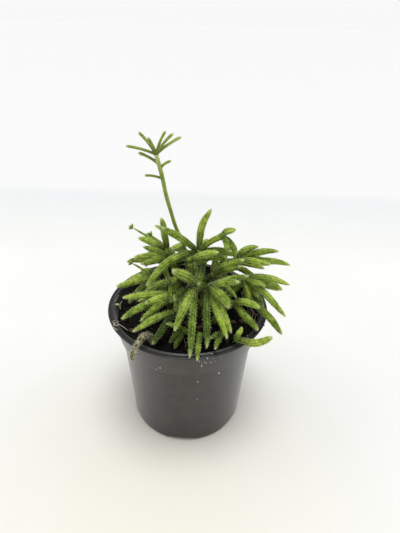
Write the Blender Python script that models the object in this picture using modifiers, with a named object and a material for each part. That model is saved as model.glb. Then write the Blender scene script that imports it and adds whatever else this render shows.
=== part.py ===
# A young mistletoe cactus (Rhipsalis) in a round nursery pot.
# Units in the driving dimensions are millimetres and degrees; the meshes are in metres.
# The pot stands on Z = 0 with its axis on the origin. The plant's front faces -Y.
# A bearing is measured from the front: 0 is -Y, +90 is +X. A rise is measured up from level.

import math
import random

import bmesh
import bpy
import numpy as np
from mathutils import Vector, noise

MM = 0.001
NAME = "mistletoe_cactus"

# Pot
POT_HEIGHT = 88.3
LIP_RADIUS = 51.0
LIP_THICK = 1.3
COLLAR_TOP_RADIUS = 48.3
COLLAR_FOOT_RADIUS = 45.0
SHOULDER_HEIGHT = 69.0
BODY_TOP_RADIUS = 42.9
FOOT_RADIUS = 38.4
WALL = 1.1
FLOOR_THICK = 1.2
FILLET_WIDTH = 1.4
FILLET_HEIGHT = 2.0
SHOULDER_SLOPE = 1.8
LIP_ROUND = 0.75
FOOT_ROUND = 0.8
FOOT_BEVEL_HEIGHT = 3.0
CHANNEL_HEIGHT = 4.0
CHANNEL_INNER = 24.0
CHANNEL_OUTER = 34.0
CHANNEL_SLOPE = 2.0
NOTCH_COUNT = 6
NOTCH_BEARING = -3.0
NOTCH_WIDTH_ANGLE = 38.0
NOTCH_HEIGHT = 3.6
NOTCH_DEPTH = 9.0
NOTCH_SIDES = 64
DRAIN_RADIUS = 2.0
DRAIN_RING = 29.0
DRAIN_SIDES = 12
DRAIN_OVERCUT = 1.0
POT_STEPS = 36

# Soil
GAP = 0.3
SOIL_EDGE_HEIGHT = 81.0
SOIL_DOME = 3.0
SOIL_ROUGHNESS = 1.0
SOIL_EDGE_BREAK = 1.2
SOIL_RINGS = 8
SOIL_STEPS = 26
BUMP_SIZES = (9.0, 4.0)
ROOT_DEPTH = 10.0
HOLE_EASE = 0.2
HOLE_SIDES = 8
CRUMB_COUNT = 9
CRUMB_SIZES = (2.0, 4.2)
CRUMB_REACH = 41.0
CRUMB_ROOM = 2.5
BARK_COUNT = 7
BARK_SIZES = ((5.0, 8.5), (3.0, 4.5), (1.6, 2.6))
BARK_REACH = 36.0
BARK_ROOM = 5.0
CRUMB_ROUGHNESS = (0.82, 1.1)
CRUMB_TILT = 0.25
CRUMB_TRIES = 2000

# Plant
FINGER_RADIUS = 2.15
STALK_RADIUS = 1.9
TWIG_RADIUS = 0.8
RIBS = 4
THIN_RIBS = 3
THIN_RADIUS = 1.5
RIB_DEPTH = 0.17
KNUCKLE = 1.12
FINGER_STATIONS = (0.0, 0.3, 0.68, 0.92, 1.0)
FINGER_GIRTHS = (0.62, 1.0, 0.94, 0.64, 0.26)
TAPERED = ("finger", "twig")
GIRTH_MARKS = {"thin": 0.33, "slim": 0.7, "fat": 1.35}
SHORT_FINGER = 16.0
SHORT_GIRTH = 0.9
STALK_STATIONS = (0.0, 0.33, 0.66, 1.0)
STALK_BOW = 0.12
LINK_BOW = 1.5
COLLAR_RISE = 1.5

# Room that a finger keeps to its neighbours, and what is tried where it has none
CLEARANCE = 0.4
STALK_CLEARANCE = 0.8
SUNK = -1.0
SOIL_CLEARANCE = 2.6
SHORTENED = (1.0, 0.88, 0.76)
TURN_SIZES = (4, 8, 12, 17, 23, 30)
GAP_SHARES = (0, 0.25, 0.5, 0.75)

# Each leafy stem has a foot (x, y) on the soil and whorls from the root up.
# A whorl is its place (x, y, z) and its fingers: bearing, rise, length, arch.
# A finger's arch is how far its middle bulges up from the straight line; a mark changes its girth.
# The last two values are the bearing that the stem's inner fingers face, and how many it has.
SPRAYS = {
    "sprig_left": ((-3, -24), [
        ((-1, -31, 91), [(-50, -19, 11, 1, "slim"), (-28, -36, 12, 1, "slim"), (-78, 32, 12, 1, "slim")]),
    ], 0, 0),
    "sprig_middle": ((8, -30), [
        ((8, -36, 92), [(-3, 0, 20, 1, "slim")]),
    ], 0, 0),
    "sprig_front": ((19, -27), [
        ((20, -33, 90), [(-40, 21, 10, 1, "slim"), (-14, 6, 14, 1, "slim")]),
    ], 0, 0),
    "sprig_right": ((31, -26), [
        ((29, -39, 93), [(74, 19, 20, -3), (110, 74, 8, 0, "slim")]),
    ], 0, 0),
    "spray_right_front": ((17, -13), [
        ((27, -17, 101), [(58, 14, 18, 2), (44, -20, 22, 1)]),
    ], 60, 0),
    "spray_top": ((4, 4), [
        ((1, -5, 123), [(68, 29, 20, 1)]),
        ((9, -5, 121), [(-12, -23, 16, 1)]),
        ((6, 4, 124), [(88, 77, 29, 2), (-92, 32, 31, 1), (-80, 38, 28, 1), (-60, -23, 38, 6),
                       (68, 7, 23, 2)]),
        ((19, -4, 139), [(92, 29, 9, 1), (75, -57, 15, 3), (45, -50, 10, 1)]),
    ], 180, 4),
    "spray_middle": ((12, -3), [
        ((15, -4, 112), [(76, 45, 24, 2), (64, 34, 21, 1), (50, -22, 20, 1, "slim"), (165, 40, 14, 1)]),
    ], 20, 2),
    "spray_left_back": ((-5, 8), [
        ((-11, 6, 117), [(-92, 24, 19, 1), (-78, 8, 23, 1), (-62, 4, 20, 1)]),
        ((-14, 14, 119), [(-70, 81, 23, 0.5), (-100, 18, 20, 1), (-135, 5, 24, 1),
                          (-110, 24, 27, 0.5, "thin"), (-130, 20, 16, 0.5, "thin")]),
    ], -100, 3),
    "spray_right": ((13, 6), [
        ((29, 4, 119), [(92, 35, 16, 3), (76, 22, 27, 2), (60, 10, 23, 1), (82, 0, 33, 2), (-78, -20, 17, 1)]),
    ], 170, 3),
    "spray_front": ((7, -8), [
        ((12, -14, 110), [(72, 30, 27, 1), (54, 31, 24, 1), (40, -12, 19, 4, "fat"), (34, -34, 30, 1),
                          (23, -29, 33, 1), (0, -29, 37, 2)]),
        ((5, -16, 112), [(-22, -22, 31, 2), (-35, -27, 17, 1, "fat"), (-61, 45, 21, 1, "fat"),
                         (-3, -27, 43, 2), (-54, -7, 16, 1, "slim")]),
    ], 0, 4),
    "spray_left_front": ((-4, -12), [
        ((-7, -14, 105), [(-57, -1, 20, 1), (-76, 2, 31, 1), (-84, -12, 23, 1, "slim"),
                          (-61, -12, 35, 2), (-47, -16, 27, 1)]),
        ((-8, -15, 115), [(-12, -60, 13, 1)]),
        ((-6, -21, 98), [(-50, -2, 30, 1), (-38, -25, 25, 1)]),
    ], -100, 4),
    "spray_left_low": ((-12, -2), [
        ((-20, 0, 106), [(-68, -1, 25, 1), (-92, -2, 17, 1), (-102, 29, 18, 0.5, "thin"),
                         (-102, -5, 9, 0.5, "slim")]),
    ], -70, 2),
    "spray_right_low": ((19, -2), [
        ((33, -6, 112), [(72, 4, 28, 2), (83, -13, 25, 2), (58, -1, 15, 1), (57, -27, 34, 2)]),
        ((37, -12, 102), [(50, -29, 29, 1)]),
    ], 170, 3),
}

# Leafy stems of the far side, each a foot, a whorl and a fan of fingers set by the golden angle.
# Facing is the bearing that the fan's middle points to. A fan is its half spread, the rises it
# falls between and the lengths it draws between.
BACK_SPRAYS = {
    "spray_back_left": ((-12, 17), (-20, 25, 104), -145, 5),
    "spray_back": ((5, 20), (3, 28, 105), 180, 6),
    "spray_back_right": ((17, 16), (24, 23, 104), 140, 5),
    "spray_right_back": ((25, 6), (35, 9, 99), 95, 4),
}
BACK_FAN = (80.0, 18.0, -40.0, 21.0, 29.0)
INNER_FAN = (75.0, 0.0, -62.0, 18.0, 27.0)
FAN_ARCH = (1.0, 3.0)
GOLDEN_ANGLE = 137.508

# Tall shoot: its line from the soil to the crown of twigs, the twigs (bearing, rise, length), and
# the side twigs with the height of their root first
SHOOT_LINE = ((0, 14), (-1, 13.5, 104), (-4, 13, 125), (-8, 12, 135), (-11, 9, 147.5), (-13.7, 6, 160.5),
              (-15.2, 3, 171.5), (-17.7, 0, 184))
SHOOT_RADIUS = 1.25
TWIG_ARCH = 0.6
SHOOT_CROWN = ((-90, 14, 16), (-100, 50, 14), (-40, 60, 11), (100, 66, 13), (75, 50, 15), (97, 34, 16))
SHOOT_SIDE = ((178.6, -85, 29, 12), (175.8, 76, 37, 8), (169.6, -78, 13, 10))

# Dry stem that hangs over the rim
DRY_LINE = ((-19.5, -33, 74), (-19.5, -33, 85), (-21.9, -36.5, 91.8), (-24.8, -43, 93.4), (-26.9, -48, 92),
            (-28.2, -50, 89), (-28, -50.6, 85.5))
DRY_RADIUS = 1.5

# Colours (sRGB), roughness
POT_LOOK = ("#4d4b48", 0.42)
SOIL_LOOK = ("#1c1815", 0.95)
FINGER_LOOK = ("#6f8a3c", 0.55)
SHOOT_LOOK = ("#77894a", 0.6)
DRY_LOOK = ("#8a8468", 0.8)


# Scene and material helpers
def clear_scene():
    for item in list(bpy.data.objects):
        bpy.data.objects.remove(item, do_unlink=True)


def new_collection(name):
    collection = bpy.data.collections.new(name)
    bpy.context.scene.collection.children.link(collection)
    return collection


def linear(hex_colour):
    channels = [int(hex_colour[i:i + 2], 16) / 255 for i in (1, 3, 5)]
    return [c / 12.92 if c <= 0.04045 else ((c + 0.055) / 1.055) ** 2.4 for c in channels] + [1.0]


def plain_material(name, look):
    material = bpy.data.materials.new(name)
    material.use_nodes = True
    shader = material.node_tree.nodes["Principled BSDF"]
    shader.inputs["Base Color"].default_value = linear(look[0])
    shader.inputs["Roughness"].default_value = look[1]
    return material


def add_object(name, data, collection):
    item = bpy.data.objects.new(name, data)
    collection.objects.link(item)
    return item


def evaluated_mesh(item, name):
    depsgraph = bpy.context.evaluated_depsgraph_get()
    return bpy.data.meshes.new_from_object(item.evaluated_get(depsgraph), depsgraph=depsgraph)


# Turned shapes
def turned(name, outline, steps, collection):
    """Turns an outline of (radius, height) in mm, which starts and ends on the axis."""
    mesh = bpy.data.meshes.new(name)
    points = [(r * MM, 0.0, z * MM) for r, z in outline]
    mesh.from_pydata(points, [(i, i + 1) for i in range(len(points) - 1)], [])
    item = add_object(name, mesh, collection)
    screw = item.modifiers.new("turn", "SCREW")
    screw.steps = steps
    screw.render_steps = steps
    screw.use_merge_vertices = True
    screw.merge_threshold = 0.00001
    return item


def applied(item):
    """Replaces an object's modifiers by their result."""
    mesh = evaluated_mesh(item, item.name)
    item.modifiers.clear()
    item.data = mesh
    return item


# Pot
def pot_outline():
    channel_floor = CHANNEL_HEIGHT + FLOOR_THICK
    under_lip = POT_HEIGHT - LIP_THICK
    body_slope = (BODY_TOP_RADIUS - FOOT_RADIUS) / SHOULDER_HEIGHT
    inside = [
        (0, FLOOR_THICK),
        (CHANNEL_INNER - WALL - CHANNEL_SLOPE, FLOOR_THICK),
        (CHANNEL_INNER - WALL, channel_floor),
        (FOOT_RADIUS - WALL - FILLET_WIDTH, channel_floor),
        (FOOT_RADIUS - WALL, channel_floor + FILLET_HEIGHT),
        (BODY_TOP_RADIUS - WALL, SHOULDER_HEIGHT + WALL / 2),
        (COLLAR_FOOT_RADIUS - WALL, SHOULDER_HEIGHT + WALL / 2 + SHOULDER_SLOPE),
        (COLLAR_TOP_RADIUS - WALL, under_lip - WALL / 2),
        (COLLAR_TOP_RADIUS - WALL / 2, POT_HEIGHT - LIP_ROUND / 3),
    ]
    lip = [
        (LIP_RADIUS - 2 * LIP_ROUND, POT_HEIGHT),
        (LIP_RADIUS - LIP_ROUND / 2, POT_HEIGHT - LIP_ROUND / 2.5),
        (LIP_RADIUS, POT_HEIGHT - LIP_ROUND),
        (LIP_RADIUS - LIP_ROUND / 4, under_lip),
        (COLLAR_TOP_RADIUS + WALL / 2, under_lip),
    ]
    outside = [
        (COLLAR_TOP_RADIUS, under_lip - WALL / 2),
        (COLLAR_FOOT_RADIUS, SHOULDER_HEIGHT + WALL / 2),
        (COLLAR_FOOT_RADIUS - WALL / 3, SHOULDER_HEIGHT),
        (BODY_TOP_RADIUS, SHOULDER_HEIGHT),
        (FOOT_RADIUS + body_slope * FOOT_BEVEL_HEIGHT, FOOT_BEVEL_HEIGHT),
        (FOOT_RADIUS - FOOT_ROUND / 5, FOOT_ROUND),
        (FOOT_RADIUS - FOOT_ROUND, 0),
        (CHANNEL_OUTER + CHANNEL_SLOPE / 2, 0),
        (CHANNEL_OUTER - CHANNEL_SLOPE / 5, CHANNEL_HEIGHT),
        (CHANNEL_INNER, CHANNEL_HEIGHT),
        (CHANNEL_INNER - CHANNEL_SLOPE, 0),
        (0, 0),
    ]
    return inside + lip + outside


def notch_cutter(index, collection):
    """A low arched opening through the foot ring, as a lens lying across the wall."""
    bearing = math.radians(NOTCH_BEARING + index * 360 / NOTCH_COUNT)
    half_chord = FOOT_RADIUS * math.sin(math.radians(NOTCH_WIDTH_ANGLE / 2))
    arch_radius = (half_chord ** 2 + NOTCH_HEIGHT ** 2) / (2 * NOTCH_HEIGHT)
    mesh = bpy.data.meshes.new("notch")
    shape = bmesh.new()
    bmesh.ops.create_cone(shape, cap_ends=True, segments=NOTCH_SIDES, radius1=arch_radius * MM,
                          radius2=arch_radius * MM, depth=NOTCH_DEPTH * MM)
    shape.to_mesh(mesh)
    shape.free()
    item = add_object("notch_%d" % index, mesh, collection)
    item.rotation_euler = (math.radians(90), 0, bearing)
    reach = (FOOT_RADIUS + CHANNEL_OUTER) / 2
    item.location = (reach * math.sin(bearing) * MM, -reach * math.cos(bearing) * MM,
                     (NOTCH_HEIGHT - arch_radius) * MM)
    return item


def upright_cutter(name, x, y, bottom, top, radius, sides, collection):
    mesh = bpy.data.meshes.new(name)
    shape = bmesh.new()
    bmesh.ops.create_cone(shape, cap_ends=True, segments=sides, radius1=radius * MM,
                          radius2=radius * MM, depth=(top - bottom) * MM)
    shape.to_mesh(mesh)
    shape.free()
    item = add_object(name, mesh, collection)
    item.location = (x * MM, y * MM, (bottom + top) / 2 * MM)
    return item


def combine(item, helpers, operation, name, solver="EXACT"):
    """Cuts or joins all the helper objects with one Boolean on their own collection, then removes them."""
    group = bpy.data.collections.new(name)
    for helper in helpers:
        for old in list(helper.users_collection):
            old.objects.unlink(helper)
        group.objects.link(helper)
    bpy.context.scene.collection.children.link(group)
    boolean = item.modifiers.new(name, "BOOLEAN")
    boolean.operation = operation
    boolean.operand_type = "COLLECTION"
    boolean.collection = group
    boolean.solver = solver
    bpy.context.view_layer.update()
    applied(item)
    for helper in helpers:
        bpy.data.objects.remove(helper, do_unlink=True)
    bpy.data.collections.remove(group)
    return item


def build_pot(parts, cutters):
    pot = turned("pot", pot_outline(), POT_STEPS, parts)
    helpers = [notch_cutter(i, cutters) for i in range(NOTCH_COUNT)]
    for i in range(NOTCH_COUNT):
        bearing = math.radians(NOTCH_BEARING + (i + 0.5) * 360 / NOTCH_COUNT)
        helpers.append(upright_cutter("drain_%d" % i, DRAIN_RING * math.sin(bearing),
                                      -DRAIN_RING * math.cos(bearing), CHANNEL_HEIGHT - DRAIN_OVERCUT,
                                      CHANNEL_HEIGHT + FLOOR_THICK + DRAIN_OVERCUT, DRAIN_RADIUS,
                                      DRAIN_SIDES, cutters))
    combine(pot, helpers, "DIFFERENCE", "pot_openings")
    finish(pot, plain_material("pot_plastic", POT_LOOK))


# Plant layout: every piece is a centre line with its girths, worked out before any mesh is made
def direction(bearing, rise):
    b, r = math.radians(bearing), math.radians(rise)
    return np.array([math.sin(b) * math.cos(r), -math.cos(b) * math.cos(r), math.sin(r)])


def bowed_line(start, end, lift, stations):
    """Points of a quadratic arc from start to end whose middle is moved by lift."""
    start, end = np.array(start, float), np.array(end, float)
    handle = (start + end) / 2 + 2 * np.array(lift, float)
    return [((1 - t) ** 2) * start + 2 * t * (1 - t) * handle + t * t * end for t in stations]


def finger_line(root, bearing, rise, length, arch):
    ahead = direction(bearing, rise)
    up = direction(bearing, rise + 90)
    return bowed_line(root, np.array(root) + ahead * length, up * arch, FINGER_STATIONS)


def surface_gap(line_a, girths_a, line_b, girths_b):
    """Least distance between the surfaces of two stems, sampled along the first."""
    a, ra = np.array(line_a), np.array(girths_a)
    samples = np.concatenate([a[:-1] + (a[1:] - a[:-1]) * s for s in GAP_SHARES] + [a[-1:]])
    sample_girths = np.concatenate([ra[:-1] + (ra[1:] - ra[:-1]) * s for s in GAP_SHARES] + [ra[-1:]])
    b, rb = np.array(line_b), np.array(girths_b)
    starts, runs = b[:-1], b[1:] - b[:-1]
    offsets = samples[:, None, :] - starts[None]
    along = np.clip((offsets * runs).sum(2) / (runs * runs).sum(1), 0, 1)
    apart = np.linalg.norm(offsets - along[..., None] * runs, axis=2)
    return float((apart - sample_girths[:, None] - rb[:-1] - along * (rb[1:] - rb[:-1])).min())


def soil_level(x, y):
    share = min((x * x + y * y) / (COLLAR_TOP_RADIUS - WALL) ** 2, 1)
    return SOIL_EDGE_HEIGHT + SOIL_DOME * (1 - share)


def pot_gap(line, girths):
    """Least room between a stem's surface and the soil or the rim."""
    least = math.inf
    for (x, y, z), girth in zip(line, girths):
        reach = math.hypot(x, y)
        if reach < COLLAR_FOOT_RADIUS:
            least = min(least, z - soil_level(x, y) - SOIL_CLEARANCE - girth)
        inward = max(COLLAR_FOOT_RADIUS - reach, reach - LIP_RADIUS, 0)
        least = min(least, math.hypot(inward, max(z - POT_HEIGHT, 0)) - girth)
    return least


def turns():
    """Small changes of bearing and rise to try, from none outward."""
    yield 0, 0
    for size in TURN_SIZES:
        for angle in range(0, 360, 45):
            yield size * math.cos(math.radians(angle)), size * math.sin(math.radians(angle))


class Layout:
    """Pieces placed so far: node, line, girths along it and kind."""

    def __init__(self):
        self.pieces = []

    def clear_of_others(self, node, line, girths):
        if pot_gap(line[1:], girths[1:]) < CLEARANCE:
            return False
        for other, other_line, other_girths, kind in self.pieces:
            if other != node:
                room = STALK_CLEARANCE if kind == "stalk" else CLEARANCE
                if surface_gap(line, girths, other_line, other_girths) < room:
                    return False
            elif kind == "finger" and surface_gap(line[2:], girths[2:], other_line[2:], other_girths[2:]) < SUNK:
                return False
        return True

    def add(self, node, line, radius, kind):
        girths = [radius * share for share in FINGER_GIRTHS] if kind in TAPERED else [radius] * len(line)
        self.pieces.append((node, [np.array(p, float) for p in line], girths, kind))

    def add_finger(self, node, root, bearing, rise, length, arch, radius):
        girths = [radius * share for share in FINGER_GIRTHS]
        for share in SHORTENED:
            for swing, lift in turns():
                line = finger_line(root, bearing + swing, rise + lift, length * share, arch * share)
                if self.clear_of_others(node, line, girths):
                    self.add(node, line, radius, "finger")
                    return True
        return False


def girth_for(marks, length):
    for mark in marks:
        return FINGER_RADIUS * GIRTH_MARKS[mark]
    return FINGER_RADIUS * (SHORT_GIRTH if length < SHORT_FINGER else 1.0)


def place_stalk(layout, node, foot, whorl):
    """A stalk from its hole in the soil to the first whorl, upright at the root."""
    x, y = foot
    base = (x, y, soil_level(x, y) - ROOT_DEPTH)
    collar = (x, y, soil_level(x, y) + COLLAR_RISE)
    lift = np.array([x - whorl[0], y - whorl[1], 0]) * STALK_BOW
    line = [base] + bowed_line(collar, whorl, lift, STALK_STATIONS)
    layout.add(node, line, STALK_RADIUS, "stalk")


def place_link(layout, node, start, end):
    line = bowed_line(start, end, (0, 0, LINK_BOW), STALK_STATIONS)
    layout.add(node, line, STALK_RADIUS, "stalk")


def fan_fingers(facing, count, fan, seed):
    """Fingers set by the golden angle folded into a fan, their rises falling from first to last."""
    draw = random.Random(seed)
    half_spread, first_rise, last_rise, shortest, longest = fan
    for i in range(count):
        turn = (i * GOLDEN_ANGLE) % 360 / 360 - 0.5
        rise = first_rise + (last_rise - first_rise) * (i + 0.5) / count
        yield facing + turn * 2 * half_spread, rise, draw.uniform(shortest, longest), draw.uniform(*FAN_ARCH)


def plant_layout():
    layout = Layout()
    for node, (foot, whorls, _, _) in SPRAYS.items():
        place_stalk(layout, node, foot, whorls[0][0])
        for (start, _), (end, _) in zip(whorls, whorls[1:]):
            place_link(layout, node, start, end)
    for node, (foot, whorl, _, _) in BACK_SPRAYS.items():
        place_stalk(layout, node, foot, whorl)
    place_tall_shoot(layout)
    layout.add("dry_stem", DRY_LINE, DRY_RADIUS, "bare")
    for node, (_, whorls, _, _) in SPRAYS.items():
        for root, fingers in whorls:
            for bearing, rise, length, arch, *marks in fingers:
                layout.add_finger(node, root, bearing, rise, length, arch, girth_for(marks, length))
    for seed, (node, (_, whorl, facing, count)) in enumerate(BACK_SPRAYS.items()):
        for finger in fan_fingers(facing, count, BACK_FAN, seed):
            layout.add_finger(node, whorl, *finger, FINGER_RADIUS)
    for seed, (node, (_, whorls, facing, count)) in enumerate(SPRAYS.items()):
        for i, finger in enumerate(fan_fingers(facing, count, INNER_FAN, seed)):
            layout.add_finger(node, whorls[i % min(len(whorls), 2)][0], *finger, FINGER_RADIUS)
    return layout


def place_tall_shoot(layout):
    x, y = SHOOT_LINE[0]
    level = soil_level(x, y)
    line = [(x, y, level - ROOT_DEPTH), (x, y, level + COLLAR_RISE)] + list(SHOOT_LINE[1:])
    layout.add("tall_shoot", line, SHOOT_RADIUS, "bare")
    for bearing, rise, length in SHOOT_CROWN:
        twig = finger_line(SHOOT_LINE[-1], bearing, rise, length, TWIG_ARCH)
        layout.add("tall_shoot", twig, TWIG_RADIUS, "twig")
    heights = [point[2] for point in SHOOT_LINE[1:]]
    for height, bearing, rise, length in SHOOT_SIDE:
        root = [np.interp(height, heights, [point[axis] for point in SHOOT_LINE[1:]]) for axis in range(3)]
        layout.add("tall_shoot", finger_line(root, bearing, rise, length, TWIG_ARCH), TWIG_RADIUS, "twig")


# Plant meshes
def rib_section(ribs):
    """The ribbed cross-section as a closed curve of radius 1 mm, used as the bevel of the stems."""
    curve = bpy.data.curves.new("rib_section", "CURVE")
    curve.dimensions = "2D"
    spline = curve.splines.new("POLY")
    count = 2 * ribs
    spline.points.add(count - 1)
    for i in range(count):
        reach = MM * (1.0 if i % 2 == 0 else 1.0 - RIB_DEPTH)
        angle = 2 * math.pi * i / count
        spline.points[i].co = (reach * math.cos(angle), reach * math.sin(angle), 0, 1)
    spline.use_cyclic_u = True
    return curve


def stem_mesh(name, line, girths, section):
    """A ribbed, tapered stem along a line: a curve with the ribbed section, its caps welded."""
    curve = bpy.data.curves.new(name, "CURVE")
    curve.dimensions = "3D"
    curve.render_resolution_u = 0
    curve.bevel_mode = "OBJECT"
    curve.bevel_object = section
    curve.use_fill_caps = True
    spline = curve.splines.new("POLY")
    spline.points.add(len(line) - 1)
    for point, place, girth in zip(spline.points, line, girths):
        point.co = (*[float(v) * MM for v in place], 1)
        point.radius = girth
    temporary = add_object(name, curve, bpy.context.scene.collection)
    bpy.context.view_layer.update()
    mesh = evaluated_mesh(temporary, name)
    bpy.data.objects.remove(temporary, do_unlink=True)
    shape = bmesh.new()
    shape.from_mesh(mesh)
    bmesh.ops.remove_doubles(shape, verts=shape.verts, dist=0.000001)
    bmesh.ops.recalc_face_normals(shape, faces=shape.faces)
    shape.to_mesh(mesh)
    shape.free()
    return mesh


def knuckle_mesh(place, radius):
    mesh = bpy.data.meshes.new("knuckle")
    shape = bmesh.new()
    bmesh.ops.create_icosphere(shape, subdivisions=1, radius=radius * MM)
    bmesh.ops.translate(shape, verts=shape.verts, vec=Vector([float(v) * MM for v in place]))
    shape.to_mesh(mesh)
    shape.free()
    return mesh


def joints_of(node):
    """The whorls of a node, where a small knuckle closes the roots of its fingers."""
    if node in SPRAYS:
        return [(root, STALK_RADIUS) for root, _ in SPRAYS[node][1]]
    if node in BACK_SPRAYS:
        return [(BACK_SPRAYS[node][1], STALK_RADIUS)]
    return [(SHOOT_LINE[-1], SHOOT_RADIUS)] if node == "tall_shoot" else []


def build_plant(layout, parts):
    sections = [add_object("rib_section", rib_section(ribs), bpy.context.scene.collection)
                for ribs in (THIN_RIBS, RIBS)]
    materials = {
        "tall_shoot": plain_material("shoot_skin", SHOOT_LOOK),
        "dry_stem": plain_material("dry_stem_bark", DRY_LOOK),
    }
    finger_skin = plain_material("finger_skin", FINGER_LOOK)
    for node in dict.fromkeys(piece[0] for piece in layout.pieces):
        pieces = [piece for piece in layout.pieces if piece[0] == node]
        stems = []
        for index, (_, line, girths, _) in enumerate(pieces):
            section = sections[max(girths) > THIN_RADIUS]
            mesh = stem_mesh("%s_%d" % (node, index), line, girths, section)
            stems.append(add_object(mesh.name, mesh, parts))
        for place, radius in joints_of(node):
            mesh = knuckle_mesh(place, radius * KNUCKLE)
            stems.append(add_object(node + "_knuckle", mesh, parts))
        body = stems[0]
        if stems[1:]:
            combine(body, stems[1:], "UNION", node + "_join")
        body.name = node
        finish(body, materials.get(node, finger_skin))
    for section in sections:
        bpy.data.objects.remove(section, do_unlink=True)


# Soil
def soil_outline():
    foot_reach = FOOT_RADIUS - WALL - GAP
    wall_reach = COLLAR_FOOT_RADIUS - WALL - GAP
    wall_slope = (COLLAR_TOP_RADIUS - COLLAR_FOOT_RADIUS) / (POT_HEIGHT - SHOULDER_HEIGHT)
    shoulder_top = SHOULDER_HEIGHT + WALL / 2 + SHOULDER_SLOPE
    edge = SOIL_EDGE_HEIGHT - SOIL_EDGE_BREAK
    rim = wall_reach + wall_slope * (edge - shoulder_top)
    floor = CHANNEL_HEIGHT + FLOOR_THICK + GAP
    top = [(r, soil_level(r, 0)) for r in np.linspace(0, rim - SOIL_EDGE_BREAK / 2, SOIL_RINGS)]
    return top + [
        (rim, edge),
        (wall_reach, shoulder_top + GAP),
        (BODY_TOP_RADIUS - WALL - GAP, SHOULDER_HEIGHT + WALL / 2 + GAP),
        (foot_reach, floor + FILLET_HEIGHT + GAP),
        (foot_reach - FILLET_WIDTH - GAP, floor),
        (0, floor),
    ]


def roughen_top(soil):
    """Raises and sinks the top by a smooth noise, least at the pot wall."""
    for vertex in soil.data.vertices:
        x, y, z = vertex.co
        reach = math.hypot(x, y) / MM
        if z > (SOIL_EDGE_HEIGHT - SOIL_EDGE_BREAK / 2) * MM and reach < COLLAR_FOOT_RADIUS:
            wide, narrow = [noise.noise(Vector((x, y, 0)) / (size * MM)) for size in BUMP_SIZES]
            bump = wide + narrow / 2
            vertex.co.z = z + bump * SOIL_ROUGHNESS * MM


def crumb_mesh(draw, kind):
    mesh = bpy.data.meshes.new(kind)
    shape = bmesh.new()
    if kind == "bark":
        bmesh.ops.create_cube(shape, size=MM)
        size = [draw.uniform(*span) for span in BARK_SIZES]
    else:
        bmesh.ops.create_icosphere(shape, subdivisions=1, radius=0.5 * MM)
        size = [draw.uniform(*CRUMB_SIZES) for _ in range(3)]
    bmesh.ops.scale(shape, verts=shape.verts, vec=size)
    for vertex in shape.verts:
        vertex.co *= draw.uniform(*CRUMB_ROUGHNESS)
    shape.to_mesh(mesh)
    shape.free()
    return mesh


def crumbs(stems, parts):
    """Crumbs and bark chips half sunk in the soil, clear of the stem holes and of the wall."""
    draw = random.Random(11)
    placed = []
    for _ in range(CRUMB_TRIES):
        if len(placed) == CRUMB_COUNT + BARK_COUNT:
            return
        kind, span, size = (("bark", BARK_REACH, BARK_ROOM) if len(placed) < BARK_COUNT
                            else ("crumb", CRUMB_REACH, CRUMB_ROOM))
        reach, angle = span * math.sqrt(draw.random()), draw.uniform(0, 2 * math.pi)
        x, y = reach * math.cos(angle), reach * math.sin(angle)
        if any(math.hypot(x - sx, y - sy) < size + radius + 2 * GAP for sx, sy, radius in stems):
            continue
        if any(math.hypot(x - px, y - py) < size for px, py in placed):
            continue
        placed.append((x, y))
        item = add_object("crumb", crumb_mesh(draw, kind), parts)
        item.location = (x * MM, y * MM, soil_level(x, y) * MM)
        item.rotation_euler = (draw.uniform(-CRUMB_TILT, CRUMB_TILT), draw.uniform(-CRUMB_TILT, CRUMB_TILT),
                               draw.uniform(0, 2 * math.pi))
        yield item


def build_soil(layout, parts, cutters):
    soil = applied(turned("soil", soil_outline(), SOIL_STEPS, parts))
    roughen_top(soil)
    stems = [(line[0][0], line[0][1], girths[0]) for _, line, girths, kind in layout.pieces
             if kind in ("stalk", "bare") and line[0][2] < SOIL_EDGE_HEIGHT - SOIL_DOME]
    combine(soil, list(crumbs(stems, parts)), "UNION", "soil_crumbs")
    holes = []
    for index, (x, y, radius) in enumerate(stems):
        level = soil_level(x, y)
        holes.append(upright_cutter("hole_%d" % index, x, y, level - ROOT_DEPTH - GAP, level + BARK_ROOM,
                                    radius + GAP + HOLE_EASE, HOLE_SIDES, cutters))
    combine(soil, holes, "DIFFERENCE", "stem_holes")
    finish(soil, plain_material("potting_soil", SOIL_LOOK))


def finish(item, material):
    """Gives an object its material and smooth shading with sharp edges kept."""
    item.data.materials.clear()
    item.data.materials.append(material)
    item.data.shade_smooth()
    item.data.set_sharp_from_angle(angle=math.radians(35))


def main():
    clear_scene()
    parts = new_collection(NAME)
    cutters = new_collection(NAME + "_cutters")
    layout = plant_layout()
    build_pot(parts, cutters)
    build_soil(layout, parts, cutters)
    build_plant(layout, parts)


main()
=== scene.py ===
import math
import random

import bmesh
import bpy
import numpy as np
from mathutils import Matrix, Vector, noise


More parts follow.
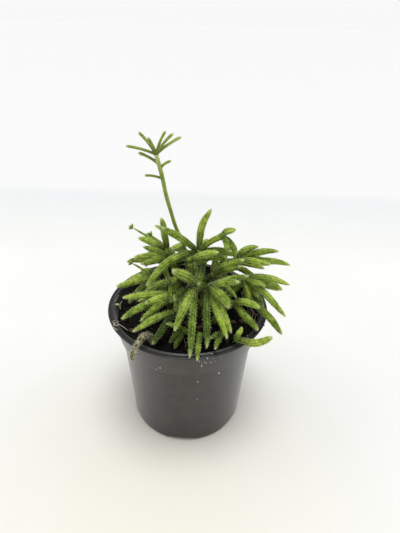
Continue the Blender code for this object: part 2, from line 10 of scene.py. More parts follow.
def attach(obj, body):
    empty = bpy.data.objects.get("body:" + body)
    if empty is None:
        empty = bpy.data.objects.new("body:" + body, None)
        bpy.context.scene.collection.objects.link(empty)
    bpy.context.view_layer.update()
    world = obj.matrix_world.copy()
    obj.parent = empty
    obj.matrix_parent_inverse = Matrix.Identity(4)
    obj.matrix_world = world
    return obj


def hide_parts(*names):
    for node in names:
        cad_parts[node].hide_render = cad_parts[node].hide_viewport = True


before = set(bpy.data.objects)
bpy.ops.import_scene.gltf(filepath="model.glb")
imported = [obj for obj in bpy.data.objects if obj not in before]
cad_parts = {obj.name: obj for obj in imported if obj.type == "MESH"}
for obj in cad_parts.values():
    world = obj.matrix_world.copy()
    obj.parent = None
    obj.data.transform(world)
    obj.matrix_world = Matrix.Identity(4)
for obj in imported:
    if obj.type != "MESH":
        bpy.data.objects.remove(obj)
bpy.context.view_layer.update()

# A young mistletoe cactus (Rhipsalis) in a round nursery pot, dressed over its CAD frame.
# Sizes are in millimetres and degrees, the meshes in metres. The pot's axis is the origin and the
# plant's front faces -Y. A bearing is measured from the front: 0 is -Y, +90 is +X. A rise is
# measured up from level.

MM = 0.001

# Camera, fitted to the pot's lip, shoulder and foot in the photograph; its angles are in radians
FOCAL_PIXELS = 402.0
FRAME_HEIGHT = 533.0
SENSOR_HEIGHT = 36.0
CAMERA_PITCH = 0.5484
CAMERA_ROLL = 0.0288
CAMERA_PLACE = (7.05, -210.34, 244.30)

# Studio: the near sheet's far edge, the middle of the painted warm shade before the pot's foot, and
# the whole backdrop in metres. Each lamp has its name, the way from the plant to it, its strength
# and its spread.
SHEET_EDGE = 400.0
WARM_SHADE_CENTRE = (-15.0, -75.0, 0.0)
BACKDROP_METRES = 60.0
LAMPS = (
    ("ceiling_panels", (-0.05, -0.1, 1.0), 0.8, 85),
    ("ceiling_light", (0.05, -0.05, 1.0), 1.5, 30),
    ("left_window", (-1.0, 0.1, 0.5), 0.5, 50),
    ("right_window", (1.0, 0.1, 0.5), 0.35, 50),
    ("front_window", (0.1, -1.0, 0.6), 0.4, 70),
)

# Pot
POT_HEIGHT = 88.3
LIP_RADIUS = 51.0
LIP_THICK = 1.3
LIP_SKEW = 0.1
LIP_FILLET = 0.5
COLLAR_TOP_RADIUS = 48.3
COLLAR_FOOT_RADIUS = 45.0
COLLAR_ROUND = 0.4
SHOULDER_HEIGHT = 69.0
SHOULDER_STEP = 0.6
SHOULDER_SLOPE = 1.8
BODY_TOP_RADIUS = 42.9
FOOT_RADIUS = 38.4
FOOT_BEVEL_HEIGHT = 3.0
WALL = 1.1
FLOOR_THICK = 1.2
FLOOR_INSET = 1.0
FILLET_WIDTH = 1.4
FILLET_HEIGHT = 2.0
CHANNEL_HEIGHT = 4.0
CHANNEL_INNER = 24.0
CHANNEL_OUTER = 34.0
CHANNEL_SLOPE = 2.0
NOTCH_COUNT = 6
NOTCH_BEARING = -3.0
NOTCH_WIDTH_ANGLE = 38.0
NOTCH_HEIGHT = 3.6
NOTCH_INSET = 2.0
NOTCH_DEPTH = 9.0
NOTCH_SIDES = 128
DRAIN_RADIUS = 2.0
DRAIN_RING = 29.0
DRAIN_OVERCUT = 1.0
DRAIN_SIDES = 32
POT_HUB = 2.0
POT_SIDES = 144
POT_EDGE = 0.3

# Small forms of the pot's section as (reach, height): the lip's bead from the collar's bore, the
# lip's edge from its rim, and the foot's edge from its outside
LIP_BEAD = ((0, -0.3), (0.35, 0.15), (0.95, -0.35))
LIP_EDGE = ((-0.9, -0.45), (-0.45, -0.1), (0, -0.5))
FOOT_EDGE = ((-0.15, 1.0), (-0.8, 0.0))

# Specks of dried water: the middle of a patch under the lip, and single ones with their radius
SPECK_CENTRE = (13.5, -46.5, 84.0)
SINGLE_SPECKS = (
    (-14.3, -43.4, 73.0, 0.45), (-16.5, -42.0, 70.5, 0.3), (20.3, -37.6, 64.0, 0.55),
    (7.8, -41.8, 60.5, 0.45), (7.6, -40.6, 44.3, 0.3),
)

# Soil. Each layer of its lumps has a size and a height at which the noise is cut.
GAP = 0.3
SOIL_EDGE_HEIGHT = 81.0
SOIL_DOME = 3.0
SOIL_ROUGHNESS = 1.0
SOIL_EDGE_BREAK = 1.2
SOIL_EASE = 0.2
SOIL_HUB = 0.7
SOIL_RINGS = 64
SOIL_SIDES = 160
SOIL_LUMPS = ((9, 0), (4, 5))
GRAIN_SIZE = 2.2
GRAIN_RELIEF = 1.1
ROOT_DEPTH = 10.0
STRAND_LENGTH = 8.0
STRAND_REACH = 41.0

# Plant, with the values and the order of the CAD source
FINGER_RADIUS = 2.15
STALK_RADIUS = 1.9
TWIG_RADIUS = 0.8
KNUCKLE = 1.12
FINGER_STATIONS = (0.0, 0.3, 0.68, 0.92, 1.0)
FINGER_GIRTHS = (0.62, 1.0, 0.94, 0.64, 0.26)
TAPERED = ("finger", "twig")
GIRTH_MARKS = {"thin": 0.33, "slim": 0.7, "fat": 1.35}
SHORT_FINGER = 16.0
SHORT_GIRTH = 0.9
STALK_STATIONS = (0.0, 0.33, 0.66, 1.0)
STALK_BOW = 0.12
LINK_BOW = 1.5
COLLAR_RISE = 1.5
CLEARANCE = 0.4
STALK_CLEARANCE = 0.8
SUNK = -1.0
SOIL_CLEARANCE = 2.6
SHORTENED = (1.0, 0.88, 0.76)
TURN_SIZES = (4, 8, 12, 17, 23, 30)
GAP_SHARES = (0, 0.25, 0.5, 0.75)

# Each leafy stem has a foot (x, y) on the soil and whorls from the root up.
# A whorl is its place (x, y, z) and its fingers: bearing, rise, length, arch.
# A finger's arch is how far its middle bulges up from the straight line; a mark changes its girth.
# The last two values are the bearing that the stem's inner fingers face, and how many it has.
SPRAYS = {
    "sprig_left": ((-3, -24), [
        ((-1, -31, 91), [(-50, -19, 11, 1, "slim"), (-28, -36, 12, 1, "slim"), (-78, 32, 12, 1, "slim")]),
    ], 0, 0),
    "sprig_middle": ((8, -30), [
        ((8, -36, 92), [(-3, 0, 20, 1, "slim")]),
    ], 0, 0),
    "sprig_front": ((19, -27), [
        ((20, -33, 90), [(-40, 21, 10, 1, "slim"), (-14, 6, 14, 1, "slim")]),
    ], 0, 0),
    "sprig_right": ((31, -26), [
        ((29, -39, 93), [(74, 19, 20, -3), (110, 74, 8, 0, "slim")]),
    ], 0, 0),
    "spray_right_front": ((17, -13), [
        ((27, -17, 101), [(58, 14, 18, 2), (44, -20, 22, 1)]),
    ], 60, 0),
    "spray_top": ((4, 4), [
        ((1, -5, 123), [(68, 29, 20, 1)]),
        ((9, -5, 121), [(-12, -23, 16, 1)]),
        ((6, 4, 124), [(88, 77, 29, 2), (-92, 32, 31, 1), (-80, 38, 28, 1), (-60, -23, 38, 6),
                       (68, 7, 23, 2)]),
        ((19, -4, 139), [(92, 29, 9, 1), (75, -57, 15, 3), (45, -50, 10, 1)]),
    ], 180, 4),
    "spray_middle": ((12, -3), [
        ((15, -4, 112), [(76, 45, 24, 2), (64, 34, 21, 1), (50, -22, 20, 1, "slim"), (165, 40, 14, 1)]),
    ], 20, 2),
    "spray_left_back": ((-5, 8), [
        ((-11, 6, 117), [(-92, 24, 19, 1), (-78, 8, 23, 1), (-62, 4, 20, 1)]),
        ((-14, 14, 119), [(-70, 81, 23, 0.5), (-100, 18, 20, 1), (-135, 5, 24, 1),
                          (-110, 24, 27, 0.5, "thin"), (-130, 20, 16, 0.5, "thin")]),
    ], -100, 3),
    "spray_right": ((13, 6), [
        ((29, 4, 119), [(92, 35, 16, 3), (76, 22, 27, 2), (60, 10, 23, 1), (82, 0, 33, 2),
                        (-78, -20, 17, 1)]),
    ], 170, 3),
    "spray_front": ((7, -8), [
        ((12, -14, 110), [(72, 30, 27, 1), (54, 31, 24, 1), (40, -12, 19, 4, "fat"), (34, -34, 30, 1),
                          (23, -29, 33, 1), (0, -29, 37, 2)]),
        ((5, -16, 112), [(-22, -22, 31, 2), (-35, -27, 17, 1, "fat"), (-61, 45, 21, 1, "fat"),
                         (-3, -27, 43, 2), (-54, -7, 16, 1, "slim")]),
    ], 0, 4),
    "spray_left_front": ((-4, -12), [
        ((-7, -14, 105), [(-57, -1, 20, 1), (-76, 2, 31, 1), (-84, -12, 23, 1, "slim"),
                          (-61, -12, 35, 2), (-47, -16, 27, 1)]),
        ((-8, -15, 115), [(-12, -60, 13, 1)]),
        ((-6, -21, 98), [(-50, -2, 30, 1), (-38, -25, 25, 1)]),
    ], -100, 4),
    "spray_left_low": ((-12, -2), [
        ((-20, 0, 106), [(-68, -1, 25, 1), (-92, -2, 17, 1), (-102, 29, 18, 0.5, "thin"),
                         (-102, -5, 9, 0.5, "slim")]),
    ], -70, 2),
    "spray_right_low": ((19, -2), [
        ((33, -6, 112), [(72, 4, 28, 2), (83, -13, 25, 2), (58, -1, 15, 1), (57, -27, 34, 2)]),
        ((37, -12, 102), [(50, -29, 29, 1)]),
    ], 170, 3),
}

# Leafy stems of the far side, each a foot, a whorl and a fan of fingers set by the golden angle
BACK_SPRAYS = {
    "spray_back_left": ((-12, 17), (-20, 25, 104), -145, 5),
    "spray_back": ((5, 20), (3, 28, 105), 180, 6),
    "spray_back_right": ((17, 16), (24, 23, 104), 140, 5),
    "spray_right_back": ((25, 6), (35, 9, 99), 95, 4),
}
BACK_FAN = (80.0, 18.0, -40.0, 21.0, 29.0)
INNER_FAN = (75.0, 0.0, -62.0, 18.0, 27.0)
FAN_ARCH = (1.0, 3.0)
GOLDEN_ANGLE = 137.508

# Tall shoot: its line, the crown's twigs (bearing, rise, length), and the side twigs with the
# height of their root first
SHOOT_LINE = ((0, 14), (-1, 13.5, 104), (-4, 13, 125), (-8, 12, 135), (-11, 9, 147.5),
              (-13.7, 6, 160.5), (-15.2, 3, 171.5), (-17.7, 0, 184))
SHOOT_RADIUS = 1.25
TWIG_ARCH = 0.6
SHOOT_CROWN = ((-90, 14, 16), (-100, 50, 14), (-40, 60, 11), (100, 66, 13), (75, 50, 15),
               (97, 34, 16))
SHOOT_SIDE = ((178.6, -85, 29, 12), (175.8, 76, 37, 8), (169.6, -78, 13, 10))

# Dry stem that hangs over the rim
DRY_LINE = ((-19.5, -33, 74), (-19.5, -33, 85), (-21.9, -36.5, 91.8), (-24.8, -43, 93.4),
            (-26.9, -48, 92), (-28.2, -50, 89), (-28, -50.6, 85.5))
DRY_RADIUS = 1.5

# Buds at the ends of the thin young stems
BUDS = 5
NUB_LENGTH = 2.6
NUB_RADIUS = 0.7

# Bits strewn on the soil: how many lots, kind, count, sizes, flatness and reach from the axis
STREWN_BITS = (
    (4, "crumb", 140, (0.8, 2.8), 0.75, 44),
    (3, "bark", 8, (2.5, 5.0), 0.35, 41),
    (1, "perlite", 9, (0.4, 0.9), 0.8, 43),
)
# Single bits: kind, place, size, turn about the upright, tilt
SINGLE_BITS = (
    ("bark", (39.6, -4.6, 83.4), (7.6, 4.0, 2.2), 1.2, 0.5),
    ("bark", (35.5, -11.0, 83.0), (5.0, 3.2, 1.6), 0.3, -0.3),
    ("perlite", (44.8, -3.8, 82.6), (1.2, 1.0, 0.9), 0.4, 0.0),
    ("perlite", (36.8, -24.6, 82.6), (1.1, 1.0, 0.8), 0.9, 0.0),
    ("crumb", (40.5, -28.6, 88.6), (1.5, 1.1, 0.8), 0.5, 0.1),
    ("crumb", (42.2, -27.2, 88.6), (1.0, 0.8, 0.6), 2.0, 0.1),
    ("crumb", (43.7, -25.4, 88.6), (1.8, 1.2, 0.8), 1.1, 0.0),
    ("crumb", (45.2, -23.4, 88.6), (1.1, 0.9, 0.7), 2.6, 0.1),
    ("crumb", (46.4, -21.4, 88.6), (1.4, 1.0, 0.7), 0.2, 0.0),
)
# Strands on the soil: kind, count, lengths and thickness
STRANDS = (("fibre", 60, (4, 10), 0.22), ("root", 16, (4, 10), 0.2))
# Roots washed onto the rim and the soil's edge, as lines
LOOSE_ROOTS = (
    ((-41.7, -23.1, 88.5), (-38.1, -26.2, 88.9), (-34.1, -29.2, 88.3)),
    ((-43.3, -26.9, 88.4), (-41.6, -28.6, 88.8), (-39.9, -29.5, 88.4)),
    ((-42.8, -20.4, 88.5), (-44.2, -22.3, 89.0), (-42.5, -24.6, 88.5)),
    ((-40.9, -21.2, 88.2), (-42.6, -23.2, 88.9), (-43.4, -25.6, 88.5)),
    ((-43.5, -24.2, 88.6), (-41.8, -25.9, 88.9), (-40.2, -24.4, 88.5)),
    ((-46.2, 7.0, 87.6), (-46.7, 2.6, 88.2), (-47.0, -2.2, 88.5)),
    ((-44.6, 7.2, 82.2), (-45.2, 3.8, 82.6), (-44.2, -1.6, 82.2)),
    ((40.9, 1.5, 83.6), (42.2, -4.0, 84.9), (41.2, -8.5, 83.4)),
    ((42.9, -0.5, 82.9), (43.4, -6.0, 84.2), (42.6, -11.0, 82.9)),
)
# A scrap of leaf against the collar at the left, as a line
SCRAP_LINE = ((-47.4, -1.9, 85.8), (-46.2, -1.7, 86.2), (-44.6, -1.8, 86.0))


# Plant layout, as in the CAD source, so that each piece lies where its solid does
def direction(bearing, rise):
    b, r = math.radians(bearing), math.radians(rise)
    return np.array([math.sin(b) * math.cos(r), -math.cos(b) * math.cos(r), math.sin(r)])


def bowed_line(start, end, lift, stations):
    """Points of a quadratic arc from start to end whose middle is moved by lift."""
    start, end = np.array(start, float), np.array(end, float)
    handle = (start + end) / 2 + 2 * np.array(lift, float)
    return [((1 - t) ** 2) * start + 2 * t * (1 - t) * handle + t * t * end for t in stations]


def finger_line(root, bearing, rise, length, arch):
    ahead = direction(bearing, rise)
    up = direction(bearing, rise + 90)
    return bowed_line(root, np.array(root) + ahead * length, up * arch, FINGER_STATIONS)


def surface_gap(line_a, girths_a, line_b, girths_b):
    """Least distance between the surfaces of two stems, sampled along the first."""
    a, ra = np.array(line_a), np.array(girths_a)
    samples = np.concatenate([a[:-1] + (a[1:] - a[:-1]) * s for s in GAP_SHARES] + [a[-1:]])
    sample_girths = np.concatenate([ra[:-1] + (ra[1:] - ra[:-1]) * s for s in GAP_SHARES] + [ra[-1:]])
    b, rb = np.array(line_b), np.array(girths_b)
    starts, runs = b[:-1], b[1:] - b[:-1]
    offsets = samples[:, None, :] - starts[None]
    along = np.clip((offsets * runs).sum(2) / (runs * runs).sum(1), 0, 1)
    apart = np.linalg.norm(offsets - along[..., None] * runs, axis=2)
    return float((apart - sample_girths[:, None] - rb[:-1] - along * (rb[1:] - rb[:-1])).min())


def soil_level(x, y):
    share = min((x * x + y * y) / (COLLAR_TOP_RADIUS - WALL) ** 2, 1)
    return SOIL_EDGE_HEIGHT + SOIL_DOME * (1 - share)


def pot_gap(line, girths):
    """Least room between a stem's surface and the soil or the rim."""
    least = math.inf
    for (x, y, z), girth in zip(line, girths):
        reach = math.hypot(x, y)
        if reach < COLLAR_FOOT_RADIUS:
            least = min(least, z - soil_level(x, y) - SOIL_CLEARANCE - girth)
        inward = max(COLLAR_FOOT_RADIUS - reach, reach - LIP_RADIUS, 0)
        least = min(least, math.hypot(inward, max(z - POT_HEIGHT, 0)) - girth)
    return least


def turns():
    """Small changes of bearing and rise to try, from none outward."""
    yield 0, 0
    for size in TURN_SIZES:
        for angle in range(0, 360, 45):
            yield size * math.cos(math.radians(angle)), size * math.sin(math.radians(angle))


class Layout:
    """Pieces placed so far: node, line, girths along it and kind."""

    def __init__(self):
        self.pieces = []

    def clear_of_others(self, node, line, girths):
        if pot_gap(line[1:], girths[1:]) < CLEARANCE:
            return False
        for other, other_line, other_girths, kind in self.pieces:
            if other != node:
                room = STALK_CLEARANCE if kind == "stalk" else CLEARANCE
                if surface_gap(line, girths, other_line, other_girths) < room:
                    return False
            elif kind == "finger":
                if surface_gap(line[2:], girths[2:], other_line[2:], other_girths[2:]) < SUNK:
                    return False
        return True

    def add(self, node, line, radius, kind):
        girths = [radius * share for share in FINGER_GIRTHS] if kind in TAPERED else [radius] * len(line)
        self.pieces.append((node, [np.array(p, float) for p in line], girths, kind))

    def add_finger(self, node, root, bearing, rise, length, arch, radius):
        girths = [radius * share for share in FINGER_GIRTHS]
        for share in SHORTENED:
            for swing, lift in turns():
                line = finger_line(root, bearing + swing, rise + lift, length * share, arch * share)
                if self.clear_of_others(node, line, girths):
                    self.add(node, line, radius, "finger")
                    return True
        return False


def girth_for(marks, length):
    for mark in marks:
        return FINGER_RADIUS * GIRTH_MARKS[mark]
    return FINGER_RADIUS * (SHORT_GIRTH if length < SHORT_FINGER else 1.0)


def place_stalk(layout, node, foot, whorl):
    """A stalk from its hole in the soil to the first whorl, upright at the root."""
    x, y = foot
    base = (x, y, soil_level(x, y) - ROOT_DEPTH)
    collar = (x, y, soil_level(x, y) + COLLAR_RISE)
    lift = np.array([x - whorl[0], y - whorl[1], 0]) * STALK_BOW
    line = [base] + bowed_line(collar, whorl, lift, STALK_STATIONS)
    layout.add(node, line, STALK_RADIUS, "stalk")


def place_link(layout, node, start, end):
    line = bowed_line(start, end, (0, 0, LINK_BOW), STALK_STATIONS)
    layout.add(node, line, STALK_RADIUS, "stalk")


def fan_fingers(facing, count, fan, seed):
    """Fingers set by the golden angle folded into a fan, their rises falling from first to last."""
    draw = random.Random(seed)
    half_spread, first_rise, last_rise, shortest, longest = fan
    for i in range(count):
        turn = (i * GOLDEN_ANGLE) % 360 / 360 - 0.5
        rise = first_rise + (last_rise - first_rise) * (i + 0.5) / count
        yield facing + turn * 2 * half_spread, rise, draw.uniform(shortest, longest), draw.uniform(*FAN_ARCH)


def plant_layout():
    layout = Layout()
    for node, (foot, whorls, _, _) in SPRAYS.items():
        place_stalk(layout, node, foot, whorls[0][0])
        for (start, _), (end, _) in zip(whorls, whorls[1:]):
            place_link(layout, node, start, end)
    for node, (foot, whorl, _, _) in BACK_SPRAYS.items():
        place_stalk(layout, node, foot, whorl)
    place_tall_shoot(layout)
    layout.add("dry_stem", DRY_LINE, DRY_RADIUS, "dry")
    for node, (_, whorls, _, _) in SPRAYS.items():
        for root, fingers in whorls:
            for bearing, rise, length, arch, *marks in fingers:
                layout.add_finger(node, root, bearing, rise, length, arch, girth_for(marks, length))
    for seed, (node, (_, whorl, facing, count)) in enumerate(BACK_SPRAYS.items()):
        for finger in fan_fingers(facing, count, BACK_FAN, seed):
            layout.add_finger(node, whorl, *finger, FINGER_RADIUS)
    for seed, (node, (_, whorls, facing, count)) in enumerate(SPRAYS.items()):
        for i, finger in enumerate(fan_fingers(facing, count, INNER_FAN, seed)):
            layout.add_finger(node, whorls[i % min(len(whorls), 2)][0], *finger, FINGER_RADIUS)
    return layout


def place_tall_shoot(layout):
    x, y = SHOOT_LINE[0]
    level = soil_level(x, y)
    line = [(x, y, level - ROOT_DEPTH), (x, y, level + COLLAR_RISE)] + list(SHOOT_LINE[1:])
    layout.add("tall_shoot", line, SHOOT_RADIUS, "shoot")
    for bearing, rise, length in SHOOT_CROWN:
        twig = finger_line(SHOOT_LINE[-1], bearing, rise, length, TWIG_ARCH)
        layout.add("tall_shoot", twig, TWIG_RADIUS, "twig")
    heights = [point[2] for point in SHOOT_LINE[1:]]
    for height, bearing, rise, length in SHOOT_SIDE:
        root = [np.interp(height, heights, [point[axis] for point in SHOOT_LINE[1:]]) for axis in range(3)]
        layout.add("tall_shoot", finger_line(root, bearing, rise, length, TWIG_ARCH), TWIG_RADIUS, "twig")


# Workshop helpers
def linear(hex_colour):
    channels = [int(hex_colour[i:i + 2], 16) / 255 for i in (1, 3, 5)]
    return [c / 12.92 if c <= 0.04045 else ((c + 0.055) / 1.055) ** 2.4 for c in channels] + [1.0]


def feed(target, sockets):
    """Gives a node's sockets their values, or links where the value is another node's output."""
    for name, value in dict(sockets).items():
        if isinstance(value, bpy.types.NodeSocket):
            target.id_data.links.new(value, target.inputs[name])
        else:
            target.inputs[name].default_value = value


def add_node(tree, kind, sockets=(), stops=(), out=0, **settings):
    """Adds a shader node with its settings, sockets and colour stops, and returns an output."""
    new = tree.nodes.new("ShaderNode" + kind)
    for name, value in settings.items():
        setattr(new, name, value)
    feed(new, sockets)
    for index, (place, colour) in enumerate(stops):
        ramp = new.color_ramp.elements
        stop = ramp[index] if index < 2 else ramp.new(place)
        stop.position, stop.color = place, linear(colour)
    return new.outputs[out]


def blank_material(name):
    material = bpy.data.materials.new(name)
    material.use_nodes = True
    return material, material.node_tree, material.node_tree.nodes["Principled BSDF"]


def made(name):
    """Names the primitive just added and puts its place into its mesh."""
    bpy.ops.object.transform_apply(location=True, rotation=True, scale=True)
    item = bpy.context.active_object
    item.name = item.data.name = name
    return item


def activate(item):
    bpy.ops.object.select_all(action="DESELECT")
    item.select_set(True)
    bpy.context.view_layer.objects.active = item


def edit(item):
    activate(item)
    bpy.ops.object.mode_set(mode="EDIT")


def leave_edit():
    bpy.ops.object.mode_set(mode="OBJECT")


def pick(item, test, parts="verts"):
    """In edit mode, selects only the vertices, edges or faces that pass the test."""
    mesh = bmesh.from_edit_mesh(item.data)
    for group in (mesh.verts, mesh.edges, mesh.faces):
        for part in group:
            part.select = False
    for part in getattr(mesh, parts):
        if test(part):
            part.select_set(True)
    bmesh.update_edit_mesh(item.data, loop_triangles=False, destructive=False)


def widen(factor):
    """Scales what is selected about the Z axis."""
    bpy.ops.transform.resize(value=(factor, factor, 1), center_override=(0, 0, 0))


def apply_modifier(item, kind, **settings):
    """Adds a modifier with its settings and applies it."""
    modifier = item.modifiers.new("shaping", kind)
    for name, value in settings.items():
        setattr(modifier, name, value)
    activate(item)
    bpy.ops.object.modifier_apply(modifier=modifier.name)


def joined(name, items):
    activate(items[0])
    for item in items:
        item.select_set(True)
    bpy.ops.object.join()
    items[0].name = items[0].data.name = name
    return items[0]


def points_of(item):
    co = np.empty(len(item.data.vertices) * 3)
    item.data.vertices.foreach_get("co", co)
    return co.reshape(-1, 3)


def give(item, name, values):
    """Stores a value on each vertex, for the materials to read."""
    mark = item.data.attributes.get(name) or item.data.attributes.new(name, "FLOAT", "POINT")
    mark.data.foreach_set("value", np.broadcast_to(values, len(item.data.vertices)).astype(np.float32))


def placed(name, data):
    item = bpy.data.objects.new(name, data)
    bpy.context.scene.collection.objects.link(item)
    return item


def copies(name, master, places, tones=None):
    """One mesh with a copy of the master at each place, a 4x4 matrix, and a tone for each copy."""
    source = points_of(master)
    corners = [tuple(face.vertices) for face in master.data.polygons]
    points, faces = [], []
    for index, place in enumerate(places):
        turn = np.array(place)
        points.append(source @ turn[:3, :3].T + turn[:3, 3])
        faces += [tuple(corner + index * len(source) for corner in face) for face in corners]
    mesh = bpy.data.meshes.new(name)
    mesh.from_pydata(np.concatenate(points).tolist(), [], faces)
    mesh.materials.append(master.data.materials[0])
    item = placed(name, mesh)
    for mark in master.data.attributes:
        if mark.data_type == "FLOAT" and mark.domain == "POINT":
            values = np.empty(len(source), np.float32)
            mark.data.foreach_get("value", values)
            give(item, mark.name, np.tile(values, len(places)))
    if tones is not None:
        give(item, "tone", np.repeat(tones, len(source)))
    mesh.shade_smooth()
    return item


def discard(*items):
    for item in items:
        bpy.data.objects.remove(item, do_unlink=True)


# Materials. A pattern's scale is in cells per metre, so 1000 gives grains about 1 mm across. The
# plastic's grain and the skin's pores are finer on the real ones, and drawn as coarse as they need
# to show. The Mix node's sockets share their names, so they are named here by their numbers.
FACTOR, VECTOR_A, VECTOR_B, COLOUR_A, COLOUR_B = 0, 4, 5, 6, 7
MIXED_VECTOR, MIXED_COLOUR = 1, 2


def polypropylene():
    """Charcoal polypropylene, injection-moulded: an even dark grey with a satin gloss, a fine
    spark-eroded grain, a thin film of dust and dried specks of hard water."""
    material, tree, shader = blank_material("moulded_polypropylene")
    place = add_node(tree, "TexCoord", out="Object")
    cloud = add_node(tree, "TexNoise", {"Vector": place, "Scale": 45.0, "Detail": 4.0})
    grain = add_node(tree, "TexNoise", {"Vector": place, "Scale": 2500.0, "Detail": 2.0})
    dust = add_node(tree, "TexNoise", {"Vector": place, "Scale": 130.0, "Detail": 6.0, "Roughness": 0.7})
    film = add_node(tree, "MapRange", {"Value": dust, "From Min": 0.42, "From Max": 0.85, "To Max": 0.09})
    body = add_node(tree, "ValToRGB", {"Fac": cloud}, ((0.3, "#181716"), (0.75, "#201f1e")))
    for colour, share in (("#a19b8c", film), ("#e3e1da", water_specks(tree, place))):
        body = add_node(tree, "Mix", {FACTOR: share, COLOUR_A: body, COLOUR_B: linear(colour)},
                        out=MIXED_COLOUR, data_type="RGBA")
    gloss = add_node(tree, "MapRange", {"Value": dust, "To Min": 0.24, "To Max": 0.4})
    bump = add_node(tree, "Bump", {"Height": grain, "Strength": 0.12, "Distance": 0.0002})
    feed(shader, {"Base Color": body, "Roughness": gloss, "Normal": bump, "IOR": 1.49,
                  "Sheen Weight": 0.35, "Sheen Roughness": 0.3})
    return material


def water_specks(tree, place):
    """Specks 0.2 to 0.6 mm across, close together in one patch under the lip and rare elsewhere."""
    warp = add_node(tree, "TexNoise", {"Vector": place, "Scale": 1500.0, "Detail": 2.0}, out="Color")
    uneven = add_node(tree, "Mix", {FACTOR: 0.0008, VECTOR_A: place, VECTOR_B: warp}, out=MIXED_VECTOR,
                      data_type="VECTOR")
    grid = add_node(tree, "TexVoronoi", {"Vector": uneven, "Scale": 800.0}).node.outputs
    draw = add_node(tree, "SeparateColor", {"Color": grid["Color"]}).node.outputs
    reach = add_node(tree, "MapRange", {"Value": draw["Green"], "To Min": 0.1, "To Max": 0.34})
    spots = add_node(tree, "Math", {0: grid["Distance"], 1: reach}, operation="LESS_THAN")
    away = add_node(tree, "VectorMath", {0: place, 1: [v * MM for v in SPECK_CENTRE]}, out="Value",
                    operation="DISTANCE")
    share = add_node(tree, "MapRange", {"Value": away, "From Min": 9 * MM, "From Max": 2 * MM,
                                        "To Min": 0.005, "To Max": 0.6})
    chosen = add_node(tree, "Math", {0: draw["Red"], 1: share}, operation="LESS_THAN")
    specks = add_node(tree, "Math", {0: spots, 1: chosen}, operation="MULTIPLY")
    for *centre, radius in SINGLE_SPECKS:
        away = add_node(tree, "VectorMath", {0: place, 1: [v * MM for v in centre]}, out="Value",
                        operation="DISTANCE")
        single = add_node(tree, "Math", {0: away, 1: radius * MM}, operation="LESS_THAN")
        specks = add_node(tree, "Math", {0: specks, 1: single}, operation="MAXIMUM")
    return specks


